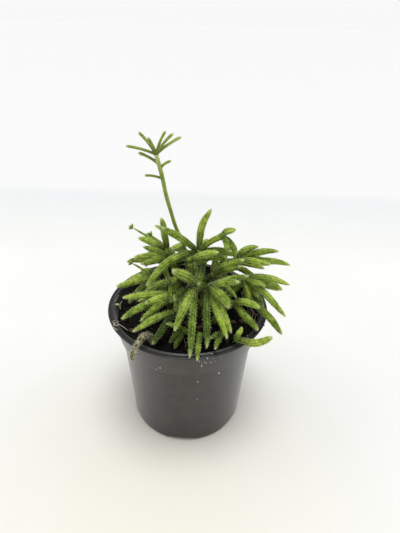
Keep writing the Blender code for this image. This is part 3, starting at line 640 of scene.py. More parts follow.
def cactus_skin(name, deep, young, old_green_and_root_shade="#101e01"):
    """Living cactus skin: a waxy green rind over juicy flesh. Darker in the grooves and paler on the
    ridges, a painted shade and painted light across the ribs. Deep green towards the root end, a
    painted shade where the fingers leave their whorl. Yellower where it is young and where a
    finger's tone carries painted light, pale at the growing tip, and with a dot of wool at each
    areole. Deep and young each hold a groove's and a ridge's colour."""
    material, tree, shader = blank_material(name)
    place = add_node(tree, "TexCoord", out="Object")
    age, ridge, wool, tone = (add_node(tree, "Attribute", out="Fac", attribute_name=mark)
                              for mark in ("age", "ridge", "wool", "tone"))
    mottle = add_node(tree, "TexNoise", {"Vector": place, "Scale": 620.0, "Detail": 6.0, "Roughness": 0.75})
    fleck = add_node(tree, "TexNoise", {"Vector": place, "Scale": 330.0, "Detail": 3.0, "Roughness": 0.6})
    cloud = add_node(tree, "TexNoise", {"Vector": place, "Scale": 120.0, "Detail": 2.0})
    pores = add_node(tree, "TexNoise", {"Vector": place, "Scale": 2600.0, "Detail": 2.0})
    # The paler ridges, painted light beside the painted shade of the grooves, are broken up by flecks and by
    # the mottle
    flecks = add_node(tree, "MapRange", {"Value": fleck, "From Min": 0.36, "From Max": 0.62,
                                         "To Min": 0.05, "To Max": 0.62})
    broken = add_node(tree, "Math", {0: ridge, 1: flecks}, operation="MULTIPLY")
    uneven = add_node(tree, "MapRange", {"Value": mottle, "From Min": 0.25, "From Max": 0.75,
                                         "To Min": -0.4, "To Max": 0.98})
    across = add_node(tree, "Math", {0: broken, 1: uneven}, operation="ADD")
    # Groove colour is painted shade in the ribs' grooves, crest colour the paler ridge
    rind, pale = (add_node(tree, "ValToRGB", {"Fac": across}, ((0.0, groove), (1.0, crest)))
                  for groove, crest in (deep, young))
    # Each finger has its own tone from old deep green to young yellow-green, partly at random and partly
    # painted light that pales the outer and high fingers, and is patchy
    patches = add_node(tree, "MapRange", {"Value": cloud, "From Min": 0.32, "From Max": 0.68,
                                          "To Min": -0.3, "To Max": 0.3})
    patchy = add_node(tree, "Math", {0: tone, 1: patches}, operation="ADD")
    fresh_and_lit = add_node(tree, "MapRange", {"Value": patchy, "From Min": 0.15, "From Max": 0.95})
    growing = add_node(tree, "MapRange", {"Value": age, "From Min": 0.6, "From Max": 0.95, "To Max": 0.45})
    light = add_node(tree, "Math", {0: fresh_and_lit, 1: growing}, operation="MAXIMUM")
    skin = add_node(tree, "Mix", {FACTOR: light, COLOUR_A: rind, COLOUR_B: pale}, out=MIXED_COLOUR,
                    data_type="RGBA")
    # Over it: lush patches, deep green on low-toned fingers, partly old and partly painted shade on the inner
    # ones, painted shade at the root end, the growing tip and the frayed wool
    frayed = add_node(tree, "MapRange", {"Value": mottle, "From Min": 0.38, "From Max": 0.6, "To Min": 0.1})
    for colour, source, least, full, most in (("#98ba10", patchy, 1.0, 1.5, 0.7),
                                              (old_green_and_root_shade, patchy, 0.4, -0.2, 0.75),
                                              # Painted shade: deep green at the root end of each finger and
                                              # stalk, where it leaves the whorl
                                              (old_green_and_root_shade, age, 0.55, 0.05, 0.85),
                                              ("#d3dd98", age, 0.9, 1.0, 0.65),
                                              ("#cfd797", wool, 0.3, 1.0, 0.8)):
        share = add_node(tree, "MapRange", {"Value": source, "From Min": least, "From Max": full,
                                            "To Max": most})
        if source == wool:
            share = add_node(tree, "Math", {0: share, 1: frayed}, operation="MULTIPLY")
        skin = add_node(tree, "Mix", {FACTOR: share, COLOUR_A: skin, COLOUR_B: linear(colour)},
                        out=MIXED_COLOUR, data_type="RGBA")
    gloss = add_node(tree, "MapRange", {"Value": mottle, "To Min": 0.42, "To Max": 0.66})
    relief = add_node(tree, "Math", {0: pores, 1: mottle}, operation="ADD")
    bump = add_node(tree, "Bump", {"Height": relief, "Strength": 0.4, "Distance": 0.0003})
    feed(shader, {"Base Color": skin, "Roughness": gloss, "Normal": bump, "IOR": 1.4,
                  "Specular IOR Level": 0.2, "Subsurface Weight": 0.06,
                  "Subsurface Radius": (0.5, 0.9, 0.1), "Subsurface Scale": 0.001,
                  "Sheen Weight": 0.12, "Sheen Tint": linear("#dfe8ae")})
    return material


def dead_skin():
    """Skin of a dried-up stem: shrunken and corky, blotched tan, grey-green and near black."""
    material, tree, shader = blank_material("dry_stem_bark")
    place = add_node(tree, "TexCoord", out="Object")
    blotch = add_node(tree, "TexNoise", {"Vector": place, "Scale": 520.0, "Detail": 5.0,
                                         "Roughness": 0.75, "Distortion": 0.5})
    bark = add_node(tree, "ValToRGB", {"Fac": blotch},
                    ((0.36, "#1d1a10"), (0.62, "#b9b58a"), (0.45, "#454324"), (0.53, "#7e7c4b")))
    bump = add_node(tree, "Bump", {"Height": blotch, "Strength": 0.7, "Distance": 0.0005})
    feed(shader, {"Base Color": bark, "Roughness": 0.8, "Normal": bump})
    return material


def bristle_horn(name, foot, end):
    """Cactus bristle: a stiff horny hair, darker where it leaves the wool, glassy pale at its point."""
    material, tree, shader = blank_material(name)
    place = add_node(tree, "TexCoord", out="Object")
    along = add_node(tree, "Attribute", out="Fac", attribute_name="age")
    streak = add_node(tree, "TexNoise", {"Vector": place, "Scale": 900.0, "Detail": 2.0})
    faint = add_node(tree, "Math", {0: streak, 1: 0.4}, operation="MULTIPLY")
    streaked = add_node(tree, "Math", {0: along, 1: faint}, operation="ADD")
    horn = add_node(tree, "ValToRGB", {"Fac": streaked}, ((0.1, foot), (0.6, end)))
    feed(shader, {"Base Color": horn, "Roughness": 0.5})
    return material


def peat():
    """Black peat potting mix: damp crumbs, nearly black in the pits as painted shade, and warm brown on their
    tops.
    """
    material, tree, shader = blank_material("damp_peat")
    place = add_node(tree, "TexCoord", out="Object")
    crumb = add_node(tree, "TexNoise", {"Vector": place, "Scale": 420.0, "Detail": 8.0, "Roughness": 0.75})
    patch = add_node(tree, "TexNoise", {"Vector": place, "Scale": 90.0, "Detail": 3.0})
    height = add_node(tree, "Math", {0: crumb, 1: patch}, operation="MULTIPLY")
    # The earth darkens where the crumb noise sinks into pits, a painted shade
    earth = add_node(tree, "ValToRGB", {"Fac": height},
                     ((0.12, "#040403"), (0.42, "#2b231b"), (0.3, "#0f0d0b")))
    damp = add_node(tree, "MapRange", {"Value": patch, "To Min": 0.62, "To Max": 1.0})
    bump = add_node(tree, "Bump", {"Height": crumb, "Strength": 0.8, "Distance": 0.0006})
    feed(shader, {"Base Color": earth, "Roughness": damp, "Normal": bump, "Specular IOR Level": 0.15})
    return material


def plant_litter(name, dark, light, scale):
    """Bark, roots and dry fibres in the mix: weathered wood tissue, streaked along the grain."""
    material, tree, shader = blank_material(name)
    place = add_node(tree, "TexCoord", out="Object")
    tone = add_node(tree, "Attribute", out="Fac", attribute_name="tone")
    grain = add_node(tree, "TexNoise", {"Vector": place, "Scale": scale, "Detail": 6.0,
                                        "Roughness": 0.7, "Distortion": 0.6})
    share = add_node(tree, "Math", {0: tone, 1: 0.35}, operation="MULTIPLY")
    lift = add_node(tree, "Math", {0: grain, 1: share}, operation="ADD")
    wood = add_node(tree, "ValToRGB", {"Fac": lift}, ((0.35, dark), (0.85, light)))
    bump = add_node(tree, "Bump", {"Height": grain, "Strength": 0.6, "Distance": 0.0004})
    feed(shader, {"Base Color": wood, "Roughness": 0.85, "Normal": bump})
    return material


def backdrop_paper():
    """White backdrop paper, faintly mottled: a near sheet that ends behind the pot, cooler towards
    its far edge and darkened by a painted warm shade in front of the pot's foot, and a whiter one under it."""
    material, tree, shader = blank_material("backdrop_paper")
    place = add_node(tree, "TexCoord", out="Object")
    depth = add_node(tree, "SeparateXYZ", {"Vector": place}, out="Y")
    patch = add_node(tree, "TexNoise", {"Vector": place, "Scale": 9.0, "Detail": 3.0})
    paper = add_node(tree, "ValToRGB", {"Fac": patch}, ((0.3, "#e4e4e1"), (0.7, "#e7e7e4")))
    # Painted shade: a warm, darker tint of the near sheet round the pot's foot
    away = add_node(tree, "VectorMath", {0: place, 1: [v * MM for v in WARM_SHADE_CENTRE]}, out="Value",
                    operation="DISTANCE")
    for colour, source, least, full, most in (("#dadddd", depth, SHEET_EDGE / 2, SHEET_EDGE, 1.0),
                                              ("#e3e0d4", away, 150, 30, 0.9),
                                              ("#e3e3e3", depth, SHEET_EDGE, SHEET_EDGE + 40, 1.0)):
        share = add_node(tree, "MapRange", {"Value": source, "From Min": least * MM,
                                            "From Max": full * MM, "To Max": most})
        paper = add_node(tree, "Mix", {FACTOR: share, COLOUR_A: paper, COLOUR_B: linear(colour)},
                         out=MIXED_COLOUR, data_type="RGBA")
    feed(shader, {"Base Color": paper, "Roughness": 0.75, "Specular IOR Level": 0.2})
    return material


# Pot
def pot_outline():
    """The pot's section as (radius, height), from the middle of its floor inside to its underside."""
    bore = COLLAR_TOP_RADIUS - WALL
    under_lip = POT_HEIGHT - LIP_THICK
    ledge = CHANNEL_HEIGHT + FLOOR_THICK
    body_slope = (BODY_TOP_RADIUS - FOOT_RADIUS) / SHOULDER_HEIGHT
    inside = [
        (POT_HUB, FLOOR_THICK),
        (CHANNEL_INNER - FLOOR_INSET - CHANNEL_SLOPE, FLOOR_THICK),
        (CHANNEL_INNER - FLOOR_INSET, ledge),
        (FOOT_RADIUS - WALL - FILLET_WIDTH, ledge),
        (FOOT_RADIUS - WALL, ledge + FILLET_HEIGHT),
        (BODY_TOP_RADIUS - WALL, SHOULDER_HEIGHT + SHOULDER_STEP),
        (COLLAR_FOOT_RADIUS - WALL, SHOULDER_HEIGHT + SHOULDER_STEP + SHOULDER_SLOPE),
        (bore, under_lip - SHOULDER_STEP),
    ]
    lip = [(bore + reach, POT_HEIGHT + height) for reach, height in LIP_BEAD]
    lip += [(LIP_RADIUS + reach, POT_HEIGHT + height) for reach, height in LIP_EDGE]
    outside = [
        (LIP_RADIUS - LIP_SKEW, under_lip),
        (COLLAR_TOP_RADIUS + LIP_FILLET, under_lip),
        (COLLAR_TOP_RADIUS, under_lip - LIP_FILLET),
        (COLLAR_FOOT_RADIUS, SHOULDER_HEIGHT + COLLAR_ROUND),
        (COLLAR_FOOT_RADIUS - COLLAR_ROUND, SHOULDER_HEIGHT),
        (BODY_TOP_RADIUS, SHOULDER_HEIGHT),
        (FOOT_RADIUS + body_slope * FOOT_BEVEL_HEIGHT, FOOT_BEVEL_HEIGHT),
    ]
    outside += [(FOOT_RADIUS + reach, height) for reach, height in FOOT_EDGE]
    underside = [
        (CHANNEL_OUTER + CHANNEL_SLOPE / 2, 0),
        (CHANNEL_OUTER - CHANNEL_SLOPE / 5, CHANNEL_HEIGHT),
        (CHANNEL_INNER, CHANNEL_HEIGHT),
        (CHANNEL_INNER - CHANNEL_SLOPE, 0),
        (POT_HUB, 0),
    ]
    return inside + lip + outside + underside


def rounded(outline, reach, steps=3):
    """Rounds each inner corner of an outline by a small arc that starts at reach from it."""
    points = np.array(outline, float)
    result = [points[0]]
    for before, corner, after in zip(points, points[1:], points[2:]):
        back, ahead = before - corner, after - corner
        back *= min(reach / np.linalg.norm(back), 0.45)
        ahead *= min(reach / np.linalg.norm(ahead), 0.45)
        result += bowed_line(corner + back, corner + ahead, -(back + ahead) / 4, np.linspace(0, 1, steps))
    return result + [points[-1]]


def turned(name, outline, sides):
    """Draws a ring of edges out through the outline's rings and closes it at both ends on the axis."""
    (radius, height), *rest = outline
    bpy.ops.object.select_all(action="DESELECT")
    bpy.ops.mesh.primitive_circle_add(vertices=sides, radius=radius * MM, fill_type="TRIFAN",
                                      location=(0, 0, height * MM))
    item = made(name)
    edit(item)
    bpy.ops.mesh.select_mode(type="EDGE")
    bpy.ops.mesh.select_all(action="SELECT")
    bpy.ops.mesh.region_to_loop()
    for next_radius, next_height in rest:
        bpy.ops.mesh.extrude_edges_move(TRANSFORM_OT_translate={"value": (0, 0, (next_height - height) * MM)})
        widen(next_radius / radius)
        radius, height = next_radius, next_height
    bpy.ops.mesh.extrude_edges_move()
    bpy.ops.mesh.merge(type="CENTER")
    bpy.ops.mesh.select_all(action="SELECT")
    bpy.ops.mesh.normals_make_consistent(inside=False)
    leave_edit()
    return item


def cut_away(item, cutters):
    """Cuts the cutters out of a piece and removes them."""
    cutter = joined("cutter", cutters) if cutters[1:] else cutters[0]
    apply_modifier(item, "BOOLEAN", operation="DIFFERENCE", object=cutter, solver="EXACT")
    discard(cutter)


def drain_cutter(bearing):
    """An upright rod through the channel's floor."""
    bottom, top = CHANNEL_HEIGHT - DRAIN_OVERCUT, CHANNEL_HEIGHT + WALL + 2 * DRAIN_OVERCUT
    x, y = DRAIN_RING * math.sin(bearing), -DRAIN_RING * math.cos(bearing)
    bpy.ops.object.select_all(action="DESELECT")
    bpy.ops.mesh.primitive_cylinder_add(vertices=DRAIN_SIDES, radius=DRAIN_RADIUS * MM,
                                        depth=(top - bottom) * MM,
                                        location=(x * MM, y * MM, (bottom + top) / 2 * MM))
    return made("cutter")


def notch_cutter(bearing):
    """A low arched opening through the foot ring, as a lens lying across the wall."""
    half_chord = FOOT_RADIUS * math.sin(math.radians(NOTCH_WIDTH_ANGLE / 2))
    arch_radius = (half_chord ** 2 + NOTCH_HEIGHT ** 2) / (2 * NOTCH_HEIGHT)
    reach = FOOT_RADIUS - NOTCH_INSET
    x, y = reach * math.sin(bearing), -reach * math.cos(bearing)
    bpy.ops.object.select_all(action="DESELECT")
    bpy.ops.mesh.primitive_cylinder_add(vertices=NOTCH_SIDES, radius=arch_radius * MM,
                                        depth=NOTCH_DEPTH * MM,
                                        location=(x * MM, y * MM, (NOTCH_HEIGHT - arch_radius) * MM),
                                        rotation=(math.radians(90), 0, bearing))
    return made("cutter")


def make_pot():
    pot = turned("nursery_pot", rounded(pot_outline(), POT_EDGE), POT_SIDES)
    bearings = [math.radians(NOTCH_BEARING + i * 360 / NOTCH_COUNT) for i in range(NOTCH_COUNT)]
    cut_away(pot, [notch_cutter(bearing) for bearing in bearings])
    cut_away(pot, [drain_cutter(bearing + math.pi / NOTCH_COUNT) for bearing in bearings])
    finish_piece(pot, polypropylene(), ("pot",), "pot_plastic")
    activate(pot)
    bpy.ops.object.shade_smooth_by_angle(angle=math.radians(40))


def finish_piece(item, material, nodes, slot):
    """Gives a piece its material if it has none, hangs it under the root body and hides the CAD parts it
    stands for.
    """
    if not item.data.materials:
        item.data.materials.append(material)
    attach(item, "root")
    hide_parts(*nodes)


# Stems: straight masters on +Z, modelled once, then copied and bent along each line. Girths are
# shares of a stem's radius by their share of its length.
TAPER_GIRTHS = ((0, 0.46), (0.06, 0.6), (0.2, 0.82), (0.38, 0.97), (0.54, 1.0), (0.7, 0.88),
                (0.83, 0.68), (0.93, 0.45), (0.98, 0.28), (1, 0.12))
BLUNT_GIRTHS = ((0, 0.48), (0.06, 0.64), (0.2, 0.86), (0.4, 0.98), (0.6, 1.0), (0.76, 0.88),
                (0.88, 0.68), (0.96, 0.46), (1, 0.18))
NUB_GIRTHS = ((0, 0.6), (0.5, 1.0), (0.85, 0.7), (1, 0.3))
STALK_GIRTHS = ((0, 1), (0.3, 0.96), (0.7, 0.97), (1, 1))
TWIG_GIRTHS = ((0, 1.1), (0.2, 0.95), (0.7, 0.95), (0.92, 1.0), (0.98, 0.8), (1, 0.4))
DRY_GIRTHS = ((0, 0.6), (0.2, 0.75), (0.35, 1.0), (0.5, 0.8), (0.65, 1.05), (0.8, 0.75), (0.93, 0.9),
              (1, 0.35))
MASTER_LENGTHS = (12, 18, 24, 30, 36)
# The other masters: kind, length, radius, ribs, areole gap, girths, depth of the grooves and lumps
OTHER_STEMS = (
    ("stalk", 20, STALK_RADIUS, 5, 2.6, STALK_GIRTHS, 0.14, 0.02),
    ("shoot", 112, SHOOT_RADIUS, 4, 2.8, STALK_GIRTHS, 0.12, 0.02),
    ("twig", 13, TWIG_RADIUS, 4, 1.7, TWIG_GIRTHS, 0.12, 0.03),
    ("nub", NUB_LENGTH, NUB_RADIUS, 4, 0.8, NUB_GIRTHS, 0.1, 0.03),
    ("dry", 34, DRY_RADIUS, 5, 1.3, DRY_GIRTHS, 0.3, 0.16),
)
MASTER_RADII = {"finger": FINGER_RADIUS, "stalk": STALK_RADIUS, "shoot": SHOOT_RADIUS,
                "twig": TWIG_RADIUS, "dry": DRY_RADIUS}
STEM_SLOTS = {"tall_shoot": "shoot_skin", "dry_stem": "dry_stem_bark"}
BARE_SHARE = 0.15
LUSH_SHARE = 0.3
KNUCKLE_GRAIN = 1.1
KNUCKLE_LUMP = 0.2


def ribbed_stem(name, length, radius, ribs, areole_gap, girths, depth, lump, skin, seed, sway=0.0):
    """A straight ribbed stem whose ridges swell at the areoles and dip between them, with its
    areoles and their ways outward."""
    draw = random.Random(seed)
    per_rib = 4
    sides = ribs * per_rib
    rings = max(round(length / areole_gap), 2) * 2
    flank = depth * 0.45
    bpy.ops.object.select_all(action="DESELECT")
    bpy.ops.mesh.primitive_cylinder_add(vertices=sides, radius=radius * MM, depth=length * MM,
                                        end_fill_type="TRIFAN", location=(0, 0, length / 2 * MM))
    item = made(name)
    edit(item)
    pick(item, lambda e: abs(e.verts[0].co.z - e.verts[1].co.z) > MM, "edges")
    bpy.ops.mesh.subdivide(number_cuts=rings - 1)
    side_of = lambda co: round(math.atan2(co[0], co[1]) / (2 * math.pi) * sides) % sides
    ring_of = lambda co: round(co[2] / MM / length * rings)
    on_axis = lambda co: math.hypot(co[0], co[1]) < radius * MM * 0.01
    bears = lambda co: side_of(co) % per_rib == 0 and (ring_of(co) + side_of(co) // per_rib) % 2 == 1
    pick(item, lambda v: side_of(v.co) % per_rib == 2)
    widen(1 - depth)
    pick(item, lambda v: side_of(v.co) % 2 == 1)
    widen(1 - flank)
    pick(item, lambda v: bears(v.co))
    widen(1 + flank)
    for ring in range(rings + 1):
        pick(item, lambda v: ring_of(v.co) == ring and not on_axis(v.co))
        widen(np.interp(ring / rings, *zip(*girths)) * (1 + draw.uniform(-lump, lump)))
    leave_edit()
    co = points_of(item)
    side = np.array([side_of(point) for point in co])
    areole = np.array([bears(point) and not on_axis(point) for point in co]) & (co[:, 2] > 0.5 * MM)
    give(item, "age", co[:, 2] / MM / length)
    give(item, "ridge", np.where(side % per_rib == 0, 1.0, np.where(side % per_rib == 2, 0.0, 0.5)))
    give(item, "wool", areole * np.array([draw.uniform(0.1, 1.0) for _ in co]))
    bends = [draw.uniform(0, 2 * math.pi) for _ in range(2)]
    for vertex in item.data.vertices:
        share = vertex.co.z / MM / length
        reach = sway * math.sin(math.pi * share) * MM
        vertex.co.x += reach * math.sin(5 * share + bends[0])
        vertex.co.y += reach * math.sin(4 * share + bends[1])
    item.data.materials.append(skin)
    item.data.shade_smooth()
    outward = np.column_stack((co[:, 0], co[:, 1], 0 * co[:, 2]))[areole]
    return item, points_of(item)[areole], outward


def tuft(name, count, length, width, spread, horn, seed):
    """A tuft of fine three-sided bristles on +Z, a straighter one in the middle."""
    draw = random.Random(seed)
    bpy.ops.object.select_all(action="DESELECT")
    bpy.ops.mesh.primitive_cone_add(vertices=3, radius1=width / 2 * MM, radius2=0, depth=length * MM,
                                    end_fill_type="NOTHING", location=(0, 0, length / 2 * MM))
    bristle = made(name + "_bristle")
    give(bristle, "age", points_of(bristle)[:, 2] / MM / length)
    bristle.data.materials.append(horn)
    places = []
    for i in range(count):
        lean = math.radians(spread * (0.15 if i == 0 else draw.uniform(0.6, 1.0)))
        around = 2 * math.pi * (i + draw.uniform(-0.25, 0.25)) / max(count - 1, 1)
        places.append(Matrix.Rotation(around, 4, "Z") @ Matrix.Rotation(lean, 4, "X")
                      @ Matrix.Scale(draw.uniform(0.55, 1.15), 4, (0, 0, 1)))
    item = copies(name, bristle, places)
    discard(bristle)
    return item


def bristled(name, stem, areoles, outward, tufts, seed, lean=0.45):
    """Sets a tuft on each areole, leaning towards the stem's tip, and joins them to the stem."""
    draw = random.Random(seed)
    parts = [stem]
    groups = [[] for _ in tufts]
    for (x, y, z), away in zip(areoles, outward):
        if draw.random() < BARE_SHARE:
            continue
        axis = Vector(away).normalized()
        way = axis + Vector((0, 0, draw.uniform(0.2, 1.0) * lean))
        turn = way.to_track_quat("Z", "Y").to_matrix().to_4x4()
        root = Vector((x, y, z)) - axis * 0.05 * MM
        place = Matrix.Translation(root) @ turn @ Matrix.Rotation(draw.uniform(0, 2 * math.pi), 4, "Z")
        groups[draw.randrange(len(tufts))].append(place @ Matrix.Scale(draw.uniform(0.65, 1.2), 4))
    for one, places in zip(tufts, groups):
        if places:
            parts.append(copies(name + "_bristles", one, places))
    return joined(name, parts)


def guide_curve(line):
    """A smooth curve through the points of a line, and its length in metres."""
    curve = bpy.data.curves.new("guide", "CURVE")
    curve.dimensions = "3D"
    curve.resolution_u = 8
    spline = curve.splines.new("BEZIER")
    spline.bezier_points.add(len(line) - 1)
    for knot, place in zip(spline.bezier_points, line):
        knot.co = Vector(place) * MM
        knot.handle_left_type = knot.handle_right_type = "AUTO"
    guide = placed("guide", curve)
    bpy.context.view_layer.update()
    return guide, spline.calc_length()


def bent_copy(name, master, length, line, girth, roll, tone):
    """A copy of a straight master, made as long as the line and bent along it."""
    guide, reach = guide_curve(line)
    item = placed(name, master.data.copy())
    item.data.name = name
    stretch = Matrix.Diagonal((girth, girth, reach / (length * MM), 1))
    item.data.transform(stretch @ Matrix.Rotation(roll, 4, "Z"))
    apply_modifier(item, "CURVE", object=guide, deform_axis="POS_Z")
    discard(guide)
    give(item, "tone", tone)
    return item


def make_masters():
    """The straight stems that every piece of the plant is copied from, and the fingers' skin."""
    skin = cactus_skin("finger_skin", ("#213903", "#6d8e1c"), ("#58770f", "#c0d260"))
    shoot = cactus_skin("shoot_skin", ("#4a6118", "#8ba246"), ("#7d9238", "#a9ba5e"), old_green_and_root_shade="#4f6022")
    horn = bristle_horn("bristle_horn", "#9aa850", "#e0e6ba")
    dead = bristle_horn("dead_bristle", "#5f553a", "#e2dcc0")
    full = [tuft("tuft", 4, 1.05, 0.075, 62, horn, i) for i in range(3)]
    fine = [tuft("fine_tuft", 4, 0.8, 0.07, 60, horn, 10 + i) for i in range(2)]
    messy = [tuft("messy_tuft", 7, 1.9, 0.16, 80, dead, 20 + i) for i in range(3)]
    masters = {}
    for blunt, girths in enumerate((TAPER_GIRTHS, BLUNT_GIRTHS)):
        for length in MASTER_LENGTHS:
            seed = length * 2 + blunt
            stem = ribbed_stem("finger", length, FINGER_RADIUS, 8, 1.9, girths, 0.15, 0.04, skin, seed,
                               sway=0.45)
            masters["finger", length, blunt] = bristled("finger", *stem, full, seed)
    coats = {"stalk": skin, "dry": dead_skin()}
    for kind, length, *form in OTHER_STEMS:
        stem = ribbed_stem(kind, length, *form, coats.get(kind, shoot), seed=7)
        masters[kind, length, 0] = bristled(kind, *stem, messy if kind == "dry" else fine, 5)
    discard(*full, *fine, *messy)
    return masters, skin


def nearest_master(masters, kind, length, blunt):
    keys = [key for key in masters if key[0] == kind and key[2] in (blunt, 0)]
    return min(keys, key=lambda key: (abs(key[1] - length), key[2] != blunt))


def whorls_of(name):
    if name in SPRAYS:
        return [place for place, _ in SPRAYS[name][1]]
    return [BACK_SPRAYS[name][1]] if name in BACK_SPRAYS else []


def tone_and_painted_light(line, draw):
    """Tone of a finger: random, with painted light that makes the outer and high ones paler, and a few low
    ones lush.
    """
    x, y, z = line[-1]
    # Painted light: outer and high fingers get a paler tone
    outer = np.interp(math.hypot(x, y), (18, 42), (0, 1)) * np.interp(z, (88, 102), (0, 1))
    above = np.interp(z, (116, 130), (0, 1))
    low_front = np.interp(z, (102, 112), (1, 0)) * np.interp(y, (-24, -16), (1, 0)) * (z > 93)
    lush = 0.7 if low_front > 0.3 and draw.random() < LUSH_SHARE else 0
    return 0.5 * draw.random() - 0.05 + 0.55 * max(outer, above) + lush


def bud_crown(name, nub, line, draw):
    """The small crown of new buds at the end of a thin young stem."""
    turn = Vector(line[-1] - line[-2]).to_track_quat("Z", "Y").to_matrix().to_4x4()
    start = Matrix.Translation(Vector(line[-1] - (line[-1] - line[-2]) * 0.1) * MM) @ turn
    places = [start @ Matrix.Rotation(2 * math.pi * (i + draw.uniform(-0.2, 0.2)) / BUDS, 4, "Z")
              @ Matrix.Rotation(draw.uniform(0.7, 1.0), 4, "X") for i in range(BUDS)]
    return copies(name, nub, places + [start], [draw.random() for _ in range(BUDS + 1)])


def knuckle(place, skin):
    """The swollen knot where a whorl of fingers leaves its stalk."""
    bpy.ops.object.select_all(action="DESELECT")
    bpy.ops.mesh.primitive_ico_sphere_add(subdivisions=3, radius=STALK_RADIUS * KNUCKLE * MM,
                                          location=[v * MM for v in place])
    knot = made("knuckle")
    for vertex in knot.data.vertices:
        lump = noise.noise(vertex.co / (KNUCKLE_GRAIN * MM)) * KNUCKLE_LUMP
        vertex.co += vertex.normal * lump * MM
    # The knuckle's age of 0.4 gives it part of the painted shade of the root ends
    for mark, value in (("ridge", 0.5), ("age", 0.4), ("tone", 0.4)):
        give(knot, mark, value)
    knot.data.materials.append(skin)
    knot.data.shade_smooth()
    return knot


def make_plant(layout):
    masters, skin = make_masters()
    draw = random.Random(3)
    for name in dict.fromkeys(piece[0] for piece in layout.pieces):
        parts = []
        for _, line, girths, kind in (piece for piece in layout.pieces if piece[0] == name):
            length = sum(np.linalg.norm(b - a) for a, b in zip(line, line[1:]))
            key = nearest_master(masters, kind, length, draw.randrange(2))
            girth, roll = max(girths) / MASTER_RADII[kind], draw.uniform(0, 2 * math.pi)
            parts.append(bent_copy(name, masters[key], key[1], line, girth, roll, tone_and_painted_light(line, draw)))
            if kind == "finger" and max(girths) < TWIG_RADIUS * 1.1:
                parts.append(bud_crown(name, masters["nub", NUB_LENGTH, 0], line, draw))
        parts += [knuckle(place, skin) for place in whorls_of(name)]
        piece = joined(name + "_grown", parts)
        finish_piece(piece, None, (name,), STEM_SLOTS.get(name, "finger_skin"))
    discard(*masters.values())


# Soil
def soil_outline():
    """The soil's section as (radius, height), from the middle of its top to its underside."""
    inner = FOOT_RADIUS - WALL - GAP
    wall_reach = COLLAR_FOOT_RADIUS - WALL - GAP
    wall_slope = (COLLAR_TOP_RADIUS - COLLAR_FOOT_RADIUS) / (POT_HEIGHT - SHOULDER_HEIGHT)
    rim_reach = COLLAR_TOP_RADIUS - WALL - GAP - 1.5 * SOIL_EDGE_BREAK
    rim_height = SOIL_EDGE_HEIGHT - SOIL_EDGE_BREAK
    shoulder_foot = SHOULDER_HEIGHT + SHOULDER_STEP
    shoulder_top = shoulder_foot + SHOULDER_SLOPE
    floor = CHANNEL_HEIGHT + FLOOR_THICK + GAP
    top = [(reach, soil_level(reach, 0)) for reach in np.linspace(SOIL_HUB, rim_reach, SOIL_RINGS)]
    return top + [
        (wall_reach + wall_slope * (rim_height - shoulder_top), rim_height),
        (wall_reach, shoulder_top + SOIL_EASE),
        (BODY_TOP_RADIUS - WALL - GAP, shoulder_foot + SOIL_EASE),
        (inner, floor + FILLET_HEIGHT + SOIL_EASE),
        (inner - FILLET_WIDTH - SOIL_EASE, floor),
        (SOIL_HUB, floor),
    ]


def soil_bump(x, y):
    """Height of the soil's lumps over its smooth dome, at a place in metres."""
    wide, narrow = (noise.noise(Vector((x, y, cut)) / (size * MM)) for size, cut in SOIL_LUMPS)
    return (wide + 0.5 * narrow) * SOIL_ROUGHNESS * MM


def ground(x, y):
    """Height of the soil's surface at a place."""
    return soil_level(x, y) + soil_bump(x * MM, y * MM) / MM


def soil_body(earth):
    """The bed of peat that fills the pot, lumpy and grainy on top."""
    soil = turned("peat_bed", soil_outline(), SOIL_SIDES)
    for vertex in soil.data.vertices:
        x, y, z = vertex.co
        reach = math.hypot(x, y) / MM
        if z > (SOIL_EDGE_HEIGHT - SOIL_EDGE_BREAK / 2) * MM and reach < COLLAR_FOOT_RADIUS:
            fine = noise.turbulence(Vector((x, y, 0)) / (GRAIN_SIZE * MM), 3, False) - 0.5
            vertex.co.z = z + soil_bump(x, y) + fine * GRAIN_RELIEF * MM
    soil.data.materials.append(earth)
    return soil


def earth_master(kind, look, draw):
    """A crumb, a bark chip or a grain of the mix, lumpy and with few faces."""
    bpy.ops.object.select_all(action="DESELECT")
    if kind == "bark":
        bpy.ops.mesh.primitive_cube_add(size=MM)
        item = made(kind)
        edit(item)
        bpy.ops.mesh.select_all(action="SELECT")
        bpy.ops.mesh.subdivide(number_cuts=2)
        leave_edit()
    else:
        bpy.ops.mesh.primitive_ico_sphere_add(subdivisions=2, radius=0.5 * MM)
        item = made(kind)
    shift = Vector((draw.uniform(-9, 9), draw.uniform(-9, 9), 0))
    for vertex in item.data.vertices:
        vertex.co *= 1 + 0.55 * noise.noise(vertex.co / (0.45 * MM) + shift)
    item.data.materials.append(look)
    return item


def free_spot(stems, limit, room, draw):
    """A place on the soil within the limit and clear of the stems, as x and y."""
    while True:
        reach, angle = limit * math.sqrt(draw.random()), draw.uniform(0, 2 * math.pi)
        x, y = reach * math.cos(angle), reach * math.sin(angle)
        if all(math.hypot(x - sx, y - sy) > radius + room for sx, sy, radius in stems):
            return x, y


def bit_place(place, size, turn, tilt):
    return (Matrix.Translation([v * MM for v in place]) @ Matrix.Rotation(turn, 4, "Z")
            @ Matrix.Rotation(tilt, 4, "X") @ Matrix.Diagonal((*size, 1)))


def strewn(kind, look, count, sizes, flat, limit, stems, draw):
    """Copies of one lumpy bit scattered over the soil, each half sunk in it."""
    master = earth_master(kind, look, draw)
    places = []
    for _ in range(count):
        size = draw.uniform(*sizes)
        x, y = free_spot(stems, limit, size * 0.5, draw)
        shape = (size * draw.uniform(0.8, 1.3), size * draw.uniform(0.6, 1.0), size * flat)
        turn, tilt = draw.uniform(0, 2 * math.pi), draw.uniform(-0.5, 0.5)
        places.append(bit_place((x, y, ground(x, y) + size * flat * 0.2), shape, turn, tilt))
    item = copies(kind, master, places, [draw.random() for _ in places])
    discard(master)
    return item


